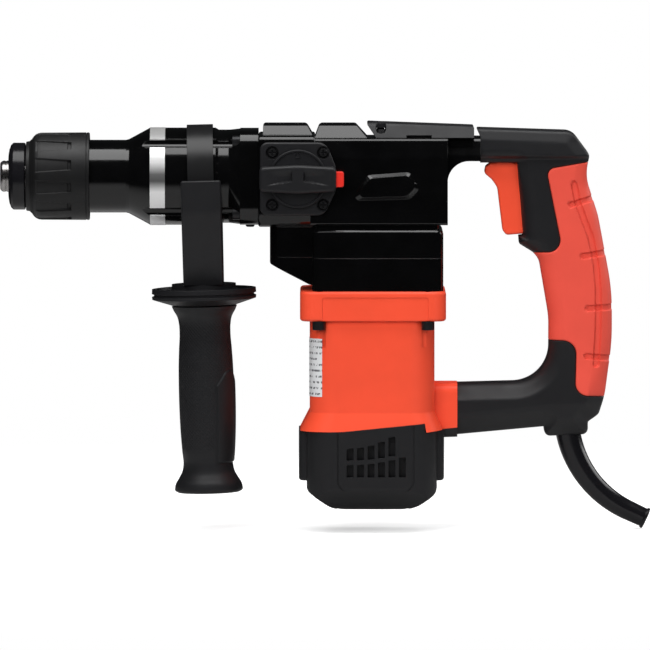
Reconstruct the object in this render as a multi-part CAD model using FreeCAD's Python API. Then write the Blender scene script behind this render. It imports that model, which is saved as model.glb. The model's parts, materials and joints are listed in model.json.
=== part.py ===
"""Rotary hammer: a side-handled, D-handled hammer drill with an upright motor.

Row frame, millimetres: the origin is the mouth of the tool bore, +X runs back along the tool axis to the
rear handle, +Z is up and the motor hangs below. -Y is the near side, with the mode knob.
"""
import FreeCAD
import Part
import math
import os

V = FreeCAD.Vector

# ---------------------------------------------------------------- driving dimensions
BORE_R = 5.05           # tool bore for a 10 mm shank
GUIDE_LENGTH = 16.0     # plain front stretch of the tool bore
CAP_X = (5.5, 16.5)     # rubber dust cap
SLEEVE_X = (17.0, 58.5)  # sliding chuck sleeve
SLEEVE_R = 28.7
TUBE_R = 23.8           # front tube of the barrel
TUBE_X = 48.0
CONE_X = (83.5, 98.0)
BARREL_R = 31.8
BAND_X = (98.3, 108.0)  # machined collar at the front of the barrel
BAND_R = 32.0
NECK_R = 30.5
FLANGE_X = (157.0, 169.0)
SCREW_PITCH = 23.5      # barrel screws, half spacing in Y and in Z
FRONT_BLOCK_X = (169.0, 206.0)
HOUSING_END_X = 293.5
ARM_END_X = 314.0
SEAM_Z = -52.0          # gear housing on gearbox base
BASE_Z = -73.5          # gearbox base on motor housing
COLLAR_Z = -93.0
MOTOR_X = 244.0         # motor axis
CRANK_X = 215.0         # crank axis
BEVEL_X = 195.0         # upright bevel shaft
CAP_FLOOR_Z = -217.0
KNOB_X = 194.8
CLEAR = 0.05            # radial clearance of a running fit

CRANK_THROW = 9.0
ROD_LENGTH = 46.0
MODULE = 1.0
MOTOR_TEETH = 9
DRIVE_TEETH = 49
IDLER_TEETH = 14
BEVEL_SHAFT_TEETH = 26
BEVEL_PINION_TEETH = 10
BEVEL_RING_TEETH = 24

HANDLE_HALF = 19.0      # half width of the rear handle
LOWER_ARM_X = 299.0     # lower arm of the handle on the motor's stub
COVER_THICK = 2.0       # soft cover moulded over the grip
TRIGGER_PIVOT = (328.0, 12.4)
PLUNGER_Z = -12.0       # switch plunger, pushed by the trigger

SIDE_X = 131.4          # side handle, where its axis meets the tool axis
SIDE_TILT = 1.4         # degrees that it leans
STRAP_HALF = 8.5
STRAP_R = 32.3
STRAP_THICK = 1.6
SADDLE_HALF = 13.1

WRIST_X = CRANK_X - math.sqrt(ROD_LENGTH ** 2 - CRANK_THROW ** 2)


# ---------------------------------------------------------------- drawing helpers
def at(u, v, plane, level):
    """A point of a drawing plane in space."""
    if plane == "xy":
        return V(u, v, level)
    if plane == "xz":
        return V(u, level, v)
    return V(level, u, v)


def outline(points, plane, level=0.0):
    """A closed wire through (u, v, corner radius) points, with each corner rounded by an arc."""
    count = len(points)
    corners = []
    for index, (u, v, radius) in enumerate(points):
        here = V(u, v, 0)
        back = V(points[index - 1][0], points[index - 1][1], 0) - here
        ahead = V(points[(index + 1) % count][0], points[(index + 1) % count][1], 0) - here
        back.normalize()
        ahead.normalize()
        if radius <= 0:
            corners.append((here, None, here))
            continue
        half = back.getAngle(ahead) / 2
        reach = radius / math.tan(half)
        middle_way = back + ahead
        middle_way.normalize()
        middle = here + middle_way * (radius / math.sin(half) - radius)
        corners.append((here + back * reach, middle, here + ahead * reach))
    edges = []
    for index, (start, middle, end) in enumerate(corners):
        if middle is not None:
            trio = [at(p.x, p.y, plane, level) for p in (start, middle, end)]
            edges.append(Part.Arc(*trio).toShape())
        following = corners[(index + 1) % count][0]
        if (following - end).Length > 1e-6:
            ends = [at(p.x, p.y, plane, level) for p in (end, following)]
            edges.append(Part.LineSegment(*ends).toShape())
    return Part.Wire(edges)


def slab(points, plane, low, high):
    """A closed outline extruded from one level to another."""
    face = Part.Face(outline(points, plane, low))
    return face.extrude(at(0, 0, plane, high - low) - at(0, 0, plane, 0))


def turned(points, centre=(0.0, 0.0), axis="x"):
    """A solid of revolution from (along, radius) points, about a line parallel to X or Z."""
    if axis == "x":
        origin, direction = V(0, centre[0], centre[1]), V(1, 0, 0)
        places = [V(along, centre[0], centre[1] + radius) for along, radius in points]
    else:
        origin, direction = V(centre[0], centre[1], 0), V(0, 0, 1)
        places = [V(centre[0] + radius, centre[1], along) for along, radius in points]
    face = Part.Face(Part.makePolygon(places + places[:1]))
    return face.revolve(origin, direction, 360)


def rod(start, end, radius):
    """A round bar between two points."""
    way = V(*end) - V(*start)
    return Part.makeCylinder(radius, way.Length, V(*start), way)


def tube(start, end, inner, outer):
    """A ring between two points."""
    return rod(start, end, outer).cut(rod(start, end, inner))


def block(low, high):
    """A plain box between two corners."""
    size = V(*high) - V(*low)
    return Part.makeBox(size.x, size.y, size.z, V(*low))


def box_outline(low, high, radius):
    """A rectangle's four points with one corner radius."""
    return [(low[0], low[1], radius), (high[0], low[1], radius), (high[0], high[1], radius),
            (low[0], high[1], radius)]


def soften(shape, radius, pick):
    """Rounds the edges that pick chooses."""
    return shape.makeFillet(radius, [edge for edge in shape.Edges if pick(edge)])


def join(*shapes):
    """One solid from several that touch or overlap."""
    whole = shapes[0]
    for shape in shapes[1:]:
        whole = whole.fuse(shape)
    return whole.removeSplitter()


def group(shapes):
    """Several separate solids in one node."""
    return Part.makeCompound(list(shapes))


def on_level(edge, axis, value):
    """True if an edge lies in the plane where that coordinate has that value."""
    box = edge.BoundBox
    low, high = {"x": (box.XMin, box.XMax), "y": (box.YMin, box.YMax), "z": (box.ZMin, box.ZMax)}[axis]
    return abs(low - value) < 1e-3 and abs(high - value) < 1e-3


def socket_screw(place, way, head_r, head_h, shank_r, shank_l):
    """A socket head cap screw; place is under the head and way points along the shank."""
    way = V(*way)
    place = V(*place)
    head = Part.makeCylinder(head_r, head_h, place - way * head_h, way)
    head = soften(head, head_r * 0.12, lambda e: (e.CenterOfMass - place).Length > head_h * 0.9)
    shank = Part.makeCylinder(shank_r, shank_l, place, way)
    socket = Part.makeCylinder(head_r * 0.5, head_h * 0.55, place - way * head_h, way)
    return head.fuse(shank).removeSplitter().cut(socket)


def cross_screw(place, way, head_r, head_h, shank_r, shank_l):
    """A pan head screw with a cross recess; place is under the head."""
    way = V(*way)
    place = V(*place)
    head = Part.makeCone(head_r, head_r * 0.72, head_h, place, way * -1)
    shank = Part.makeCylinder(shank_r, shank_l, place, way)
    screw = head.fuse(shank).removeSplitter()
    arm = head_r * 0.62
    for turn in (0, 90):
        cutter = Part.makeBox(arm * 2, head_r * 0.28, head_h, V(-arm, -head_r * 0.14, head_h * 0.45))
        cutter.rotate(V(0, 0, 0), V(0, 0, 1), turn)
        cutter.Placement = FreeCAD.Placement(place, FreeCAD.Rotation(V(0, 0, 1), way * -1)).multiply(
            cutter.Placement)
        screw = screw.cut(cutter)
    return screw


def spur_gear(teeth, low, high, centre, phase, bore, play=0.07):
    """An involute gear with short addenda and a 25 degree pressure angle; phase aims one tooth."""
    pressure = math.radians(25)
    pitch_r = MODULE * teeth / 2
    base_r = pitch_r * math.cos(pressure)
    tip_r = pitch_r + 0.8 * MODULE
    root_r = pitch_r - 1.1 * MODULE
    half_at_pitch = math.pi / 2 / teeth - play / pitch_r
    flank = []
    steps = 5
    for step in range(steps + 1):
        radius = max(root_r, base_r) + (tip_r - max(root_r, base_r)) * step / steps
        slope = math.acos(min(1.0, base_r / radius))
        involute = math.tan(slope) - slope
        half = half_at_pitch + math.tan(pressure) - pressure - involute
        flank.append((radius, half))
    if base_r > root_r:
        flank.insert(0, (root_r, flank[0][1]))
    points = []
    for tooth in range(teeth):
        aim = math.radians(phase) + 2 * math.pi * tooth / teeth
        for radius, half in flank:
            points.append(V(radius * math.cos(aim - half), radius * math.sin(aim - half), low))
        for radius, half in reversed(flank):
            points.append(V(radius * math.cos(aim + half), radius * math.sin(aim + half), low))
    gear = Part.Face(Part.makePolygon(points + points[:1])).extrude(V(0, 0, high - low))
    gear.translate(V(centre[0], centre[1], 0))
    if bore > 0:
        gear = gear.cut(rod((centre[0], centre[1], low - 1), (centre[0], centre[1], high + 1), bore))
    return gear


def ball_bearing(start, end, inner, outer):
    """A sealed ball bearing, with the step between its rings and its seals."""
    ring = tube(start, end, inner, outer)
    way = V(*end) - V(*start)
    way.normalize()
    depth = 0.5
    width = outer - inner
    for place, direction in ((V(*start), way), (V(*end), way * -1)):
        groove = Part.makeCylinder(outer - width * 0.24, depth, place, direction)
        groove = groove.cut(Part.makeCylinder(inner + width * 0.24, depth, place, direction))
        ring = ring.cut(groove)
    return ring


# ---------------------------------------------------------------- chuck and spindle
def spindle_tube():
    """Tool holder and hammer tube in one turned piece."""
    outer = [(0, 8.6), (0.5, 9.3), (1.5, 10.0), (2.2, 10.2), (3.3, 10.2), (3.5, 9.9), (4.1, 9.9), (4.3, 10.2),
             (30.5, 10.2), (30.5, 11.2), (44, 11.2), (44, 13), (47.7, 13), (47.7, 17.4), (49.4, 17.4), (49.4, 13),
             (58, 13), (58, 15), (188, 15)]
    inner = [(188, 12.0), (94, 12.0), (90, 8.3), (52, 8.3), (48, BORE_R + 0.4), (GUIDE_LENGTH, BORE_R + 0.4),
             (GUIDE_LENGTH, BORE_R), (0, BORE_R)]
    body = turned(outer + inner)
    for side in (1, -1):
        slot = slab([(29.5, -3.1, 3), (40.5, -3.1, 3), (40.5, 3.1, 3), (29.5, 3.1, 3)], "xy", 0, side * 13.0)
        body = body.cut(slot)
        rib = block((GUIDE_LENGTH + 1.5, side * 5.2 - 1.4, -1.1), (40, side * 5.2 + 1.4, 1.1))
        body = body.fuse(rib)
    vent = rod((138, -20, 0), (138, 20, 0), 1.5)
    return body.removeSplitter().cut(vent)


def dust_cap():
    """Rubber cap that snaps over the nose of the spindle."""
    profile = [(CAP_X[0], 14.5), (CAP_X[0] + 0.5, 17.5), (CAP_X[0] + 1.6, 20.4), (CAP_X[0] + 3.2, 21.9),
               (CAP_X[1] - 0.6, 21.9), (CAP_X[1], 21.3), (CAP_X[1], 10.2), (CAP_X[0], 10.2)]
    return turned(profile)


def locking_sleeve():
    """Hollow sliding sleeve of the chuck."""
    front, back = SLEEVE_X
    outer = [(front, 22.4), (front + 2.2, 22.9), (front + 3.8, 25.4), (front + 6.5, 27.6),
             (front + 10, SLEEVE_R - 0.3), (back - 1.0, SLEEVE_R), (back, SLEEVE_R - 0.8)]
    inner = [(back, 26.2), (back - 20, 26.2), (back - 21, 18.0), (front + 8, 18.0), (front + 7, 10.5),
             (front, 10.5)]
    return turned(outer + inner)


def lock_ring():
    """Hardened ring inside the sleeve that keeps the balls down."""
    return turned([(26.5, 14.6), (29.5, 11.5), (34.6, 11.5), (34.6, 18.0), (26.5, 18.0)])


def locking_balls():
    """Two balls in the slots of the spindle, level with the bore."""
    radius = 3.0
    return group(Part.makeSphere(radius, V(32.6, 0, side * (BORE_R + radius + 0.1))) for side in (1, -1))


def coil_spring(start_x, end_x, radius, wire, turns):
    """A compression spring round the tool axis."""
    length = end_x - start_x - wire * 2
    helix = Part.makeHelix(length / turns, length, radius)
    ring = Part.Wire(Part.makeCircle(wire, V(radius, 0, 0), V(0, 1, 0)))
    spring = Part.Wire(helix).makePipeShell([ring], True, True)
    spring.rotate(V(0, 0, 0), V(0, 1, 0), 90)
    spring.translate(V(start_x + wire, 0, 0))
    return spring


def bevel_ring_gear():
    """Crown wheel pressed on the back of the spindle, teeth to the rear."""
    slope = BEVEL_PINION_TEETH / BEVEL_RING_TEETH
    apex = BEVEL_X - 0.35
    tip, root = 26.6, 19.0
    depth = 1.9
    blank = turned([(176, 15.02), (176, 22), (179, tip), (apex - tip * slope, tip), (apex - root * slope, root),
                    (apex - root * slope, 15.02)])
    cuts = []
    for tooth in range(BEVEL_RING_TEETH):
        gap = 2 * math.pi * root / BEVEL_RING_TEETH * 0.52
        cutter = block((-depth, -gap / 2, -0.5), (6, gap / 2, 12))
        cutter.rotate(V(0, 0, 0), V(0, 1, 0), -math.degrees(math.atan(slope)))
        cutter.translate(V(apex - root * slope, 0, root))
        cutter.rotate(V(0, 0, 0), V(1, 0, 0), 360 / BEVEL_RING_TEETH * (tooth + 0.5))
        cuts.append(cutter)
    return blank.cut(group(cuts)).removeSplitter()


# ---------------------------------------------------------------- hammer mechanism
def impact_bolt():
    return turned([(54, 0), (54, 4.6), (56, 5.2), (60, 5.2), (63, 8.2), (76, 8.2), (80, 5.5), (86, 5.5), (86, 0)])


def striker():
    return turned([(96.5, 0), (96.5, 5.5), (99, 6.5), (103, 6.5), (106, 11.92), (112, 11.92), (112, 10.4),
                   (115, 10.4), (115, 11.92), (130, 11.92), (130, 0)])


def o_ring(x, inner, outer):
    width = (outer - inner)
    return turned([(x, inner), (x + width * 0.3, outer), (x + width * 1.3, outer), (x + width * 1.6, inner)])


def piston():
    body = turned([(146, 0), (146, 11.9), (149, 11.9), (149, 10.4), (152, 10.4), (152, 11.9), (178, 11.9),
                   (178, 0)])
    slot = block((156, -9.8, -4.6), (179, 9.8, 4.6))
    pin_hole = rod((WRIST_X, 0, -14), (WRIST_X, 0, 14), 3.0)
    return body.cut(slot).cut(pin_hole)


def wrist_pin():
    return rod((WRIST_X, 0, -10.8), (WRIST_X, 0, 10.8), 3.0)


def con_rod():
    """Connecting rod from the crank pin to the wrist pin, with play at the small end."""
    pin = (CRANK_X, -CRANK_THROW)
    small = rod((WRIST_X, 0, -4), (WRIST_X, 0, 4), 6.4)
    big = rod((pin[0], pin[1], -4), (pin[0], pin[1], 4), 7.6)
    angle = math.degrees(math.atan2(CRANK_THROW, -(CRANK_X - WRIST_X)))
    shank = block((0, -3.2, -3), (ROD_LENGTH, 3.2, 3))
    shank.rotate(V(0, 0, 0), V(0, 0, 1), angle)
    shank.translate(V(pin[0], pin[1], 0))
    body = join(small, big, shank)
    body = body.cut(rod((WRIST_X, 0, -9), (WRIST_X, 0, 9), 3.5))
    return body.cut(rod((pin[0], pin[1], -9), (pin[0], pin[1], 9), 4.5 + CLEAR))


def crankshaft():
    """Upright crankshaft with a disc, a balance flat and an eccentric pin."""
    body = turned([(-65, 0), (-65, 4), (-37.5, 4), (-37.5, 8), (-9, 8), (-9, 14.5), (-5.5, 14.5), (-5.5, 0)],
                  (CRANK_X, 0), "z")
    pin = rod((CRANK_X, -CRANK_THROW, -6), (CRANK_X, -CRANK_THROW, 6.5), 4.5)
    return join(body, pin)


def gearbox_bearings():
    """Bearings of the crankshaft and of the upright bevel shaft."""
    crank = ball_bearing((CRANK_X, 0, -19), (CRANK_X, 0, -9.4), 8 + CLEAR, 17)
    bevel = ball_bearing((BEVEL_X, 0, -37.5), (BEVEL_X, 0, -28.5), 5 + CLEAR, 10.5)
    return group([crank, bevel])


def drive_gear():
    """Large gear driven by the motor, with the small gear that drives the bevel shaft."""
    centre = (CRANK_X, 0)
    large = spur_gear(DRIVE_TEETH, -57, -48, centre, 180 / DRIVE_TEETH, 0)
    small = spur_gear(IDLER_TEETH, -48, -38.5, centre, 180, 0)
    bore = rod((CRANK_X, 0, -60), (CRANK_X, 0, -30), 4 + CLEAR)
    return join(large, small).cut(bore)


def bevel_shaft():
    """Upright shaft with the gear below its bearing and the bevel pinion above it."""
    centre = (BEVEL_X, 0)
    gear = spur_gear(BEVEL_SHAFT_TEETH, -47, -38.5, centre, 180 / BEVEL_SHAFT_TEETH, 0)
    shaft = rod((BEVEL_X, 0, -47), (BEVEL_X, 0, -27), 5)
    slope = BEVEL_PINION_TEETH / BEVEL_RING_TEETH
    low, high, offset = -26.5, -19.5, 0.35
    head = turned([(-28, 0), (-28, 8), (low, -low * slope - offset), (high, -high * slope - offset), (high, 0)],
                  centre, "z")
    cuts = []
    for tooth in range(BEVEL_PINION_TEETH):
        cutter = block((0, -1.25, 0), (6, 1.25, 12))
        cutter.rotate(V(0, 0, 0), V(0, 1, 0), -math.degrees(math.atan(slope)))
        cutter.translate(V(-low * slope - 2.0, 0, low - 1.5))
        cutter.rotate(V(0, 0, 0), V(0, 0, 1), 360 / BEVEL_PINION_TEETH * tooth)
        cutter.translate(V(BEVEL_X, 0, 0))
        cuts.append(cutter)
    return join(gear, shaft, head.cut(group(cuts)))


# ---------------------------------------------------------------- barrel
def barrel_housing():
    """Cast front housing: tube, cone, clamping barrel and flange, with four key channels."""
    outer = [(TUBE_X, TUBE_R - 0.5), (TUBE_X + 0.5, TUBE_R), (CONE_X[0] - 1, TUBE_R), (CONE_X[0] + 1, TUBE_R + 0.6),
             (BAND_X[0] - 1.2, BARREL_R - 0.6), (BAND_X[0], BAND_R), (BAND_X[1], BAND_R), (BAND_X[1], BARREL_R),
             (141, BARREL_R), (143, NECK_R), (FLANGE_X[0] + 1, NECK_R)]
    inner = [(FLANGE_X[0] + 1, 21.0), (155.5, 21.0), (155.5, 26.5), (100, 26.5), (92, 20.5), (78, 20.5),
             (78, 18.5), (60, 18.5), (60, 17.0), (57, 17.0), (57, 20.0), (TUBE_X, 20.0)]
    body = turned(outer + inner)
    half = 31.0
    flange = slab(box_outline((-half, -half), (half, half), 13), "yz", *FLANGE_X)
    round_end = outline(box_outline((-NECK_R + 0.1, -NECK_R + 0.1), (NECK_R - 0.1, NECK_R - 0.1), NECK_R - 0.3),
                        "yz", 149.5)
    square_end = outline(box_outline((-half + 0.1, -half + 0.1), (half - 0.1, half - 0.1), 13), "yz", 160.0)
    flare = Part.makeLoft([round_end, square_end], True, True)
    flare = flare.cut(rod((140, 0, 0), (170, 0, 0), 28.5))
    flange = flange.fuse(flare)
    flange = flange.cut(rod((150, 0, 0), (FLANGE_X[1] + 1, 0, 0), 24))
    body = join(body, flange.fuse(tube((FLANGE_X[0], 0, 0), (FLANGE_X[0] + 1.5, 0, 0), 21, 25)))
    for y, z in screw_corners():
        channel = rod((90, y, z), (FLANGE_X[0], y, z), 4.1)
        body = body.cut(channel).cut(rod((FLANGE_X[0] - 1, y, z), (FLANGE_X[1] + 1, y, z), 2.7))
    return body


def screw_corners():
    return [(y, z) for y in (-SCREW_PITCH, SCREW_PITCH) for z in (-SCREW_PITCH, SCREW_PITCH)]


def barrel_screws():
    return group(socket_screw((FLANGE_X[0], y, z), (1, 0, 0), 3.9, 5.0, 2.5, 26) for y, z in screw_corners())


def front_seal():
    return turned([(50, 15 + 0.3), (50, 20), (56.8, 20), (56.8, 17), (54, 16.6), (53, 15 + 0.3)])


def spindle_bearings():
    """Plain bush at the front of the spindle and ball bearing at its rear."""
    front = tube((60.5, 0, 0), (77.5, 0, 0), 15 + CLEAR, 18.5)
    rear = ball_bearing((158.6, 0, 0), (168.8, 0, 0), 15 + CLEAR, 24)
    return group([front, rear])


# ---------------------------------------------------------------- gear housing
def tapered_boss(points, near_y, far_y, shrink):
    """A boss on a side wall: an outline at the wall drawn in by shrink at its face."""
    middle_x = sum(p[0] for p in points) / len(points)
    middle_z = sum(p[1] for p in points) / len(points)
    smaller = []
    for x, z, radius in points:
        smaller.append((x - math.copysign(shrink, x - middle_x), z - math.copysign(shrink, z - middle_z), radius))
    return Part.makeLoft([outline(points, "xz", near_y), outline(smaller, "xz", far_y)], True, True)


def roof_pad(points):
    """One raised pad on the roof: its side outline cut to the roof's cross section."""
    side = slab(points, "xz", -30, 30)
    section = slab([(-25, 25, 0), (25, 25, 0), (17, 34.6, 4), (-17, 34.6, 4)], "yz", 160, 250)
    return side.common(section)


def gearbox_plan(low, high):
    """The gearbox's lower body: a box with rounded corners."""
    return slab(box_outline((204, -40), (289.6, 40), 6), "xy", low, high)


def nose_plan(low, high):
    return slab([(176.5, -27, 13), (212, -27, 0), (212, 27, 0), (176.5, 27, 13)], "xy", low, high)


def gear_housing():
    """Main gear case: front block, rear block, roof pads, rear arm, side bosses and lower box."""
    front = slab([(-36, -32, 10), (36, -32, 10), (36, 28, 5), (-36, 28, 5)], "yz", *FRONT_BLOCK_X)
    front = soften(front, 1.5, lambda e: on_level(e, "x", FRONT_BLOCK_X[0]) or on_level(e, "x", FRONT_BLOCK_X[1]))
    right = [(36.9, -30.4, 0), (37.8, -29.2, 1.0), (35, -14, 22), (35, 13, 5), (30.5, 26, 3)]
    left = [(-y, z, radius) for y, z, radius in reversed(right)]
    rear = slab(right + left, "yz", 203, HOUSING_END_X - 1)
    lower = gearbox_plan(SEAM_Z, -33)
    lower = soften(lower, 3.5, lambda e: on_level(e, "z", -33))
    waist = slab(box_outline((206.5, -34), (286.8, 34), 4), "xy", -34, -30)
    arm_section = [(-24.6, -14, 0), (24.6, -14, 0), (24.6, 14, 4), (19, 26, 4), (-19, 26, 4), (-24.6, 14, 4)]
    arm = slab([(280, 26, 0), (ARM_END_X, 26, 0), (ARM_END_X, 10.8, 0), (HOUSING_END_X - 1, 10.8, 14),
                (HOUSING_END_X - 1, -14, 0), (280, -14, 0)], "xz", -26, 26)
    arm = arm.common(slab(arm_section, "yz", 280, ARM_END_X))
    shape = join(front, rear, waist, lower, nose_plan(SEAM_Z, -28), arm,
                 roof_pad([(172, 25, 0), (172, 34.6, 2), (200.5, 34.6, 3), (206, 25, 0)]),
                 roof_pad([(205.5, 25, 0), (209, 34.6, 3), (232.5, 34.6, 3), (241, 25, 0)]))
    for side in (-1, 1):
        pod = tapered_boss([(229, -15, 3), (268, -14, 5), (276, -6, 5), (268, 4.5, 5), (240, 2.5, 3)], side * 34.5,
                           side * 37.6, 2.4)
        shape = shape.fuse(pod)
    shape = shape.removeSplitter()
    ring_room = rod((168, 0, 0), (175, 0, 0), 24).fuse(rod((174.5, 0, 0), (200, 0, 0), 27.2))
    crank_room = slab(box_outline((-28, -9.35), (28, 21), 4), "yz", 190, 287)
    shape = shape.cut(ring_room).cut(crank_room)
    shape = shape.cut(rod((BEVEL_X, 0, -28.3), (BEVEL_X, 0, -19.1), 13))
    shape = shape.cut(rod((BEVEL_X, 0, -38), (BEVEL_X, 0, -28), 10.5))
    shape = shape.cut(rod((CRANK_X, 0, -19), (CRANK_X, 0, -9), 17))
    shape = shape.cut(rod((CRANK_X, 0, -38), (CRANK_X, 0, -18), 9))
    shape = shape.cut(slab(box_outline((180, -24.6), (218, 24.6), 6), "xy", SEAM_Z - 1, -37.5))
    shape = shape.cut(slab(box_outline((205, -36.5), (287, 36.5), 6), "xy", SEAM_Z - 1, -37.5))
    for y, z in screw_corners():
        shape = shape.cut(rod((160, y, z), (186, y, z), 2.55))
    for y in (-31, 31):
        for x in (212, 283):
            shape = shape.cut(rod((x, y, -60), (x, y, -40), 2.3))
    shape = shape.cut(plate_form())
    for x, z in plate_corners():
        shape = shape.cut(rod((x, -38, z), (x, -29.5, z), 1.7))
    shape = shape.cut(rod((KNOB_X, -40, 0), (KNOB_X, -20, 0), 8 + CLEAR))
    for side in (-1, 1):
        shape = shape.cut(rod((249, side * 22, 20), (249, side * 22, 27), 1.6))
    return shape


def gearbox_base():
    """Lower gearbox with the wedge-shaped nose; its floor holds the motor's upper bearing."""
    box = gearbox_plan(BASE_Z, SEAM_Z)
    wedge_side = slab([(176.5, SEAM_Z, 0), (212, SEAM_Z, 0), (212, -72, 0), (202, -69.5, 3), (176.5, -56.3, 2)],
                      "xz", -30, 30)
    shape = join(box, nose_plan(BASE_Z, SEAM_Z).common(wedge_side))
    shape = shape.cut(rod((CRANK_X, 0, SEAM_Z + 1), (CRANK_X, 0, -59.5), 27))
    shape = shape.cut(slab(box_outline((236, -34), (286, 34), 8), "xy", -59.5, SEAM_Z + 1))
    shape = shape.cut(rod((CRANK_X, 0, -66), (CRANK_X, 0, -50), 4 + CLEAR))
    shape = shape.cut(rod((MOTOR_X, 0, -74), (MOTOR_X, 0, -61.5), 13))
    shape = shape.cut(rod((MOTOR_X, 0, -64), (MOTOR_X, 0, -50), 8))
    for y in (-31, 31):
        for x in (212, 283):
            shape = shape.cut(rod((x, y, -75), (x, y, -50), 2.7))
    return shape


def grease_plug():
    body = rod((163.5, 0, -31), (163.5, 0, -33.2), 2.9)
    return soften(body, 1.2, lambda e: on_level(e, "z", -33.2))


def plate_form():
    points = [(170.2, -24.0, 5), (212, -24.0, 8), (219.6, -8, 8), (219.6, 8, 8), (213, 23.7, 8), (170.2, 23.7, 5)]
    return slab(points, "xz", -40.5, -36)


def mode_plate():
    """Bearing plate of the mode knob, on the near side of the front block."""
    plate = plate_form()
    plate = soften(plate, 1.4, lambda e: on_level(e, "y", -40.5))
    plate = plate.cut(rod((KNOB_X, -50, 0), (KNOB_X, -30, 0), 8 + CLEAR))
    for x, z in plate_corners():
        plate = plate.cut(rod((x, -50, z), (x, -38.2, z), 4.3)).cut(rod((x, -50, z), (x, -30, z), 2.2))
    return plate


def plate_corners():
    return [(KNOB_X + dx * 16.6, dz * 17.0) for dx in (-1, 1) for dz in (-1, 1)]


def cover_screws():
    """Four screws of the mode plate and two of the top cover."""
    plate = [cross_screw((x, -38.2, z), (0, 1, 0), 3.5, 2.6, 1.65, 8) for x, z in plate_corners()]
    top = [cross_screw((249, side * 22, 29.2), (0, 0, -1), 2.9, 2.2, 1.55, 8) for side in (-1, 1)]
    return group(plate + top)


def mode_knob():
    """Knob with a cross bar, a stub shaft and an eccentric finger behind."""
    disc = rod((KNOB_X, -40.9, 0), (KNOB_X, -43.6, 0), 19)
    disc = soften(disc, 0.8, lambda e: on_level(e, "y", -43.6))
    bar = slab([(-25, -8, 3), (0, -9.4, 60), (25, -8, 3), (25, 8, 3), (0, 9.4, 60), (-25, 8, 3)], "xz", -53, -42)
    bar = soften(bar, 2.2, lambda e: on_level(e, "y", -53))
    bar.translate(V(KNOB_X, 0, 0))
    shaft = rod((KNOB_X, -42, 0), (KNOB_X, -30, 0), 8)
    finger = rod((KNOB_X + 4.5, -31, 0), (KNOB_X + 4.5, -29.4, 0), 2.2)
    pocket = block((KNOB_X + 18, -50.2, -5.4), (KNOB_X + 26, -44.4, 5.4))
    return join(disc, bar, shaft, finger).cut(pocket)


def lock_button():
    """Coloured button at the end of the knob's bar."""
    points = box_outline((KNOB_X + 21.6, -5.1), (KNOB_X + 30, 5.1), 1.6)
    return soften(slab(points, "xz", -49.9, -44.7), 0.7, lambda e: on_level(e, "y", -49.9))


def top_cover():
    """Plastic roof over the rear block and the arm."""
    side = slab([(239.2, 35.8, 1), (309.8, 33.1, 1), (309.8, 26, 0), (245.8, 26, 0)], "xz", -30, 30)
    section = slab([(-26.5, 26, 0), (26.5, 26, 0), (20, 36.5, 6), (-20, 36.5, 6)], "yz", 235, 315)
    cover = side.common(section)
    inside = slab([(246, 25, 0), (305.5, 25, 0), (305.5, 31, 0), (246, 32.5, 0)], "xz", -20, 20)
    cover = cover.cut(inside)
    for side_sign in (-1, 1):
        low, high = sorted((side_sign * 20.5, side_sign * 30))
        cover = cover.cut(block((265.6, low, 25), (282, high, 27.6)))
        cover = cover.cut(rod((249, side_sign * 22, 25), (249, side_sign * 22, 40), 1.9))
        cover = cover.cut(rod((249, side_sign * 22, 29.2), (249, side_sign * 22, 40), 3.4))
    return cover


# ---------------------------------------------------------------- motor
def above_split():
    """Everything above the joint between motor housing and motor cap."""
    line = [(180, -165.2, 0), (223, -165.2, 90), (277.6, -159.8, 0), (278.6, -165.6, 0), (310, -162.4, 0),
            (310, -60, 0), (180, -60, 0)]
    return slab(line, "xz", -60, 60)


def motor_column():
    """Outer form of the motor housing above and below the joint line."""
    column = slab(box_outline((202.5, -40), (284, 40), 17), "xy", -153, COLLAR_Z + 1)
    top = outline(box_outline((202.5, -40), (284, 40), 17), "xy", -153)
    flare = outline(box_outline((195.8, -43), (290, 43), 20), "xy", -166)
    skirt = Part.makeLoft([top, flare], True, True)
    return join(column, skirt)


def motor_room(low, high):
    return slab(box_outline((205.7, -37), (280.8, 37), 14), "xy", low, high)


def arm_stub():
    """Stub that carries the lower arm of the rear handle."""
    stub = slab([(270, -135, 0), (LOWER_ARM_X, -135, 0), (LOWER_ARM_X, -170, 0), (270, -171, 0)], "xz", -20, 20)
    return soften(stub, 6.0, lambda e: abs(e.CenterOfMass.x - (270 + LOWER_ARM_X) / 2) < 0.6
                  and abs(abs(e.CenterOfMass.y) - 20) < 0.1)


def motor_housing():
    """Coloured motor housing: collar, column, flare and handle stub, cut on the joint line."""
    collar = slab(box_outline((196.2, -44), (291.4, 44), 9), "xy", COLLAR_Z, BASE_Z)
    collar = soften(collar, 2.0, lambda e: on_level(e, "z", COLLAR_Z) or on_level(e, "z", BASE_Z))
    for low, high in ((-45, -43.5), (43.5, 45)):
        collar = collar.cut(slab(box_outline((210.8, -100), (279.8, -77.4), 1.5), "xz", low, high))
    shape = join(collar, motor_column(), arm_stub())
    shape = shape.common(above_split())
    shape = shape.cut(motor_room(-98, BASE_Z - 3)).cut(rod((MOTOR_X, 0, -80), (MOTOR_X, 0, -70), 36))
    shape = shape.cut(rod((MOTOR_X, 0, -153), (MOTOR_X, 0, -97), 36.2)).cut(motor_room(-175, -152))
    for dx in (-28, 28):
        for dy in (-28, 28):
            shape = shape.cut(rod((MOTOR_X + dx, dy, -153), (MOTOR_X + dx, dy, -97), 5))
    shape = shape.cut(rod((262, 0, -150), (305, 0, -150), 9))
    for x, y in collar_screw_places():
        shape = shape.cut(rod((x, y, -100), (x, y, -70), 2.8))
        shape = shape.cut(rod((x, y, -110), (x, y, COLLAR_Z), 4.6))
    return shape


def collar_screw_places():
    return [(x, y) for x in (208.5, 279.5) for y in (-40.0, 40.0)]


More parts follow.
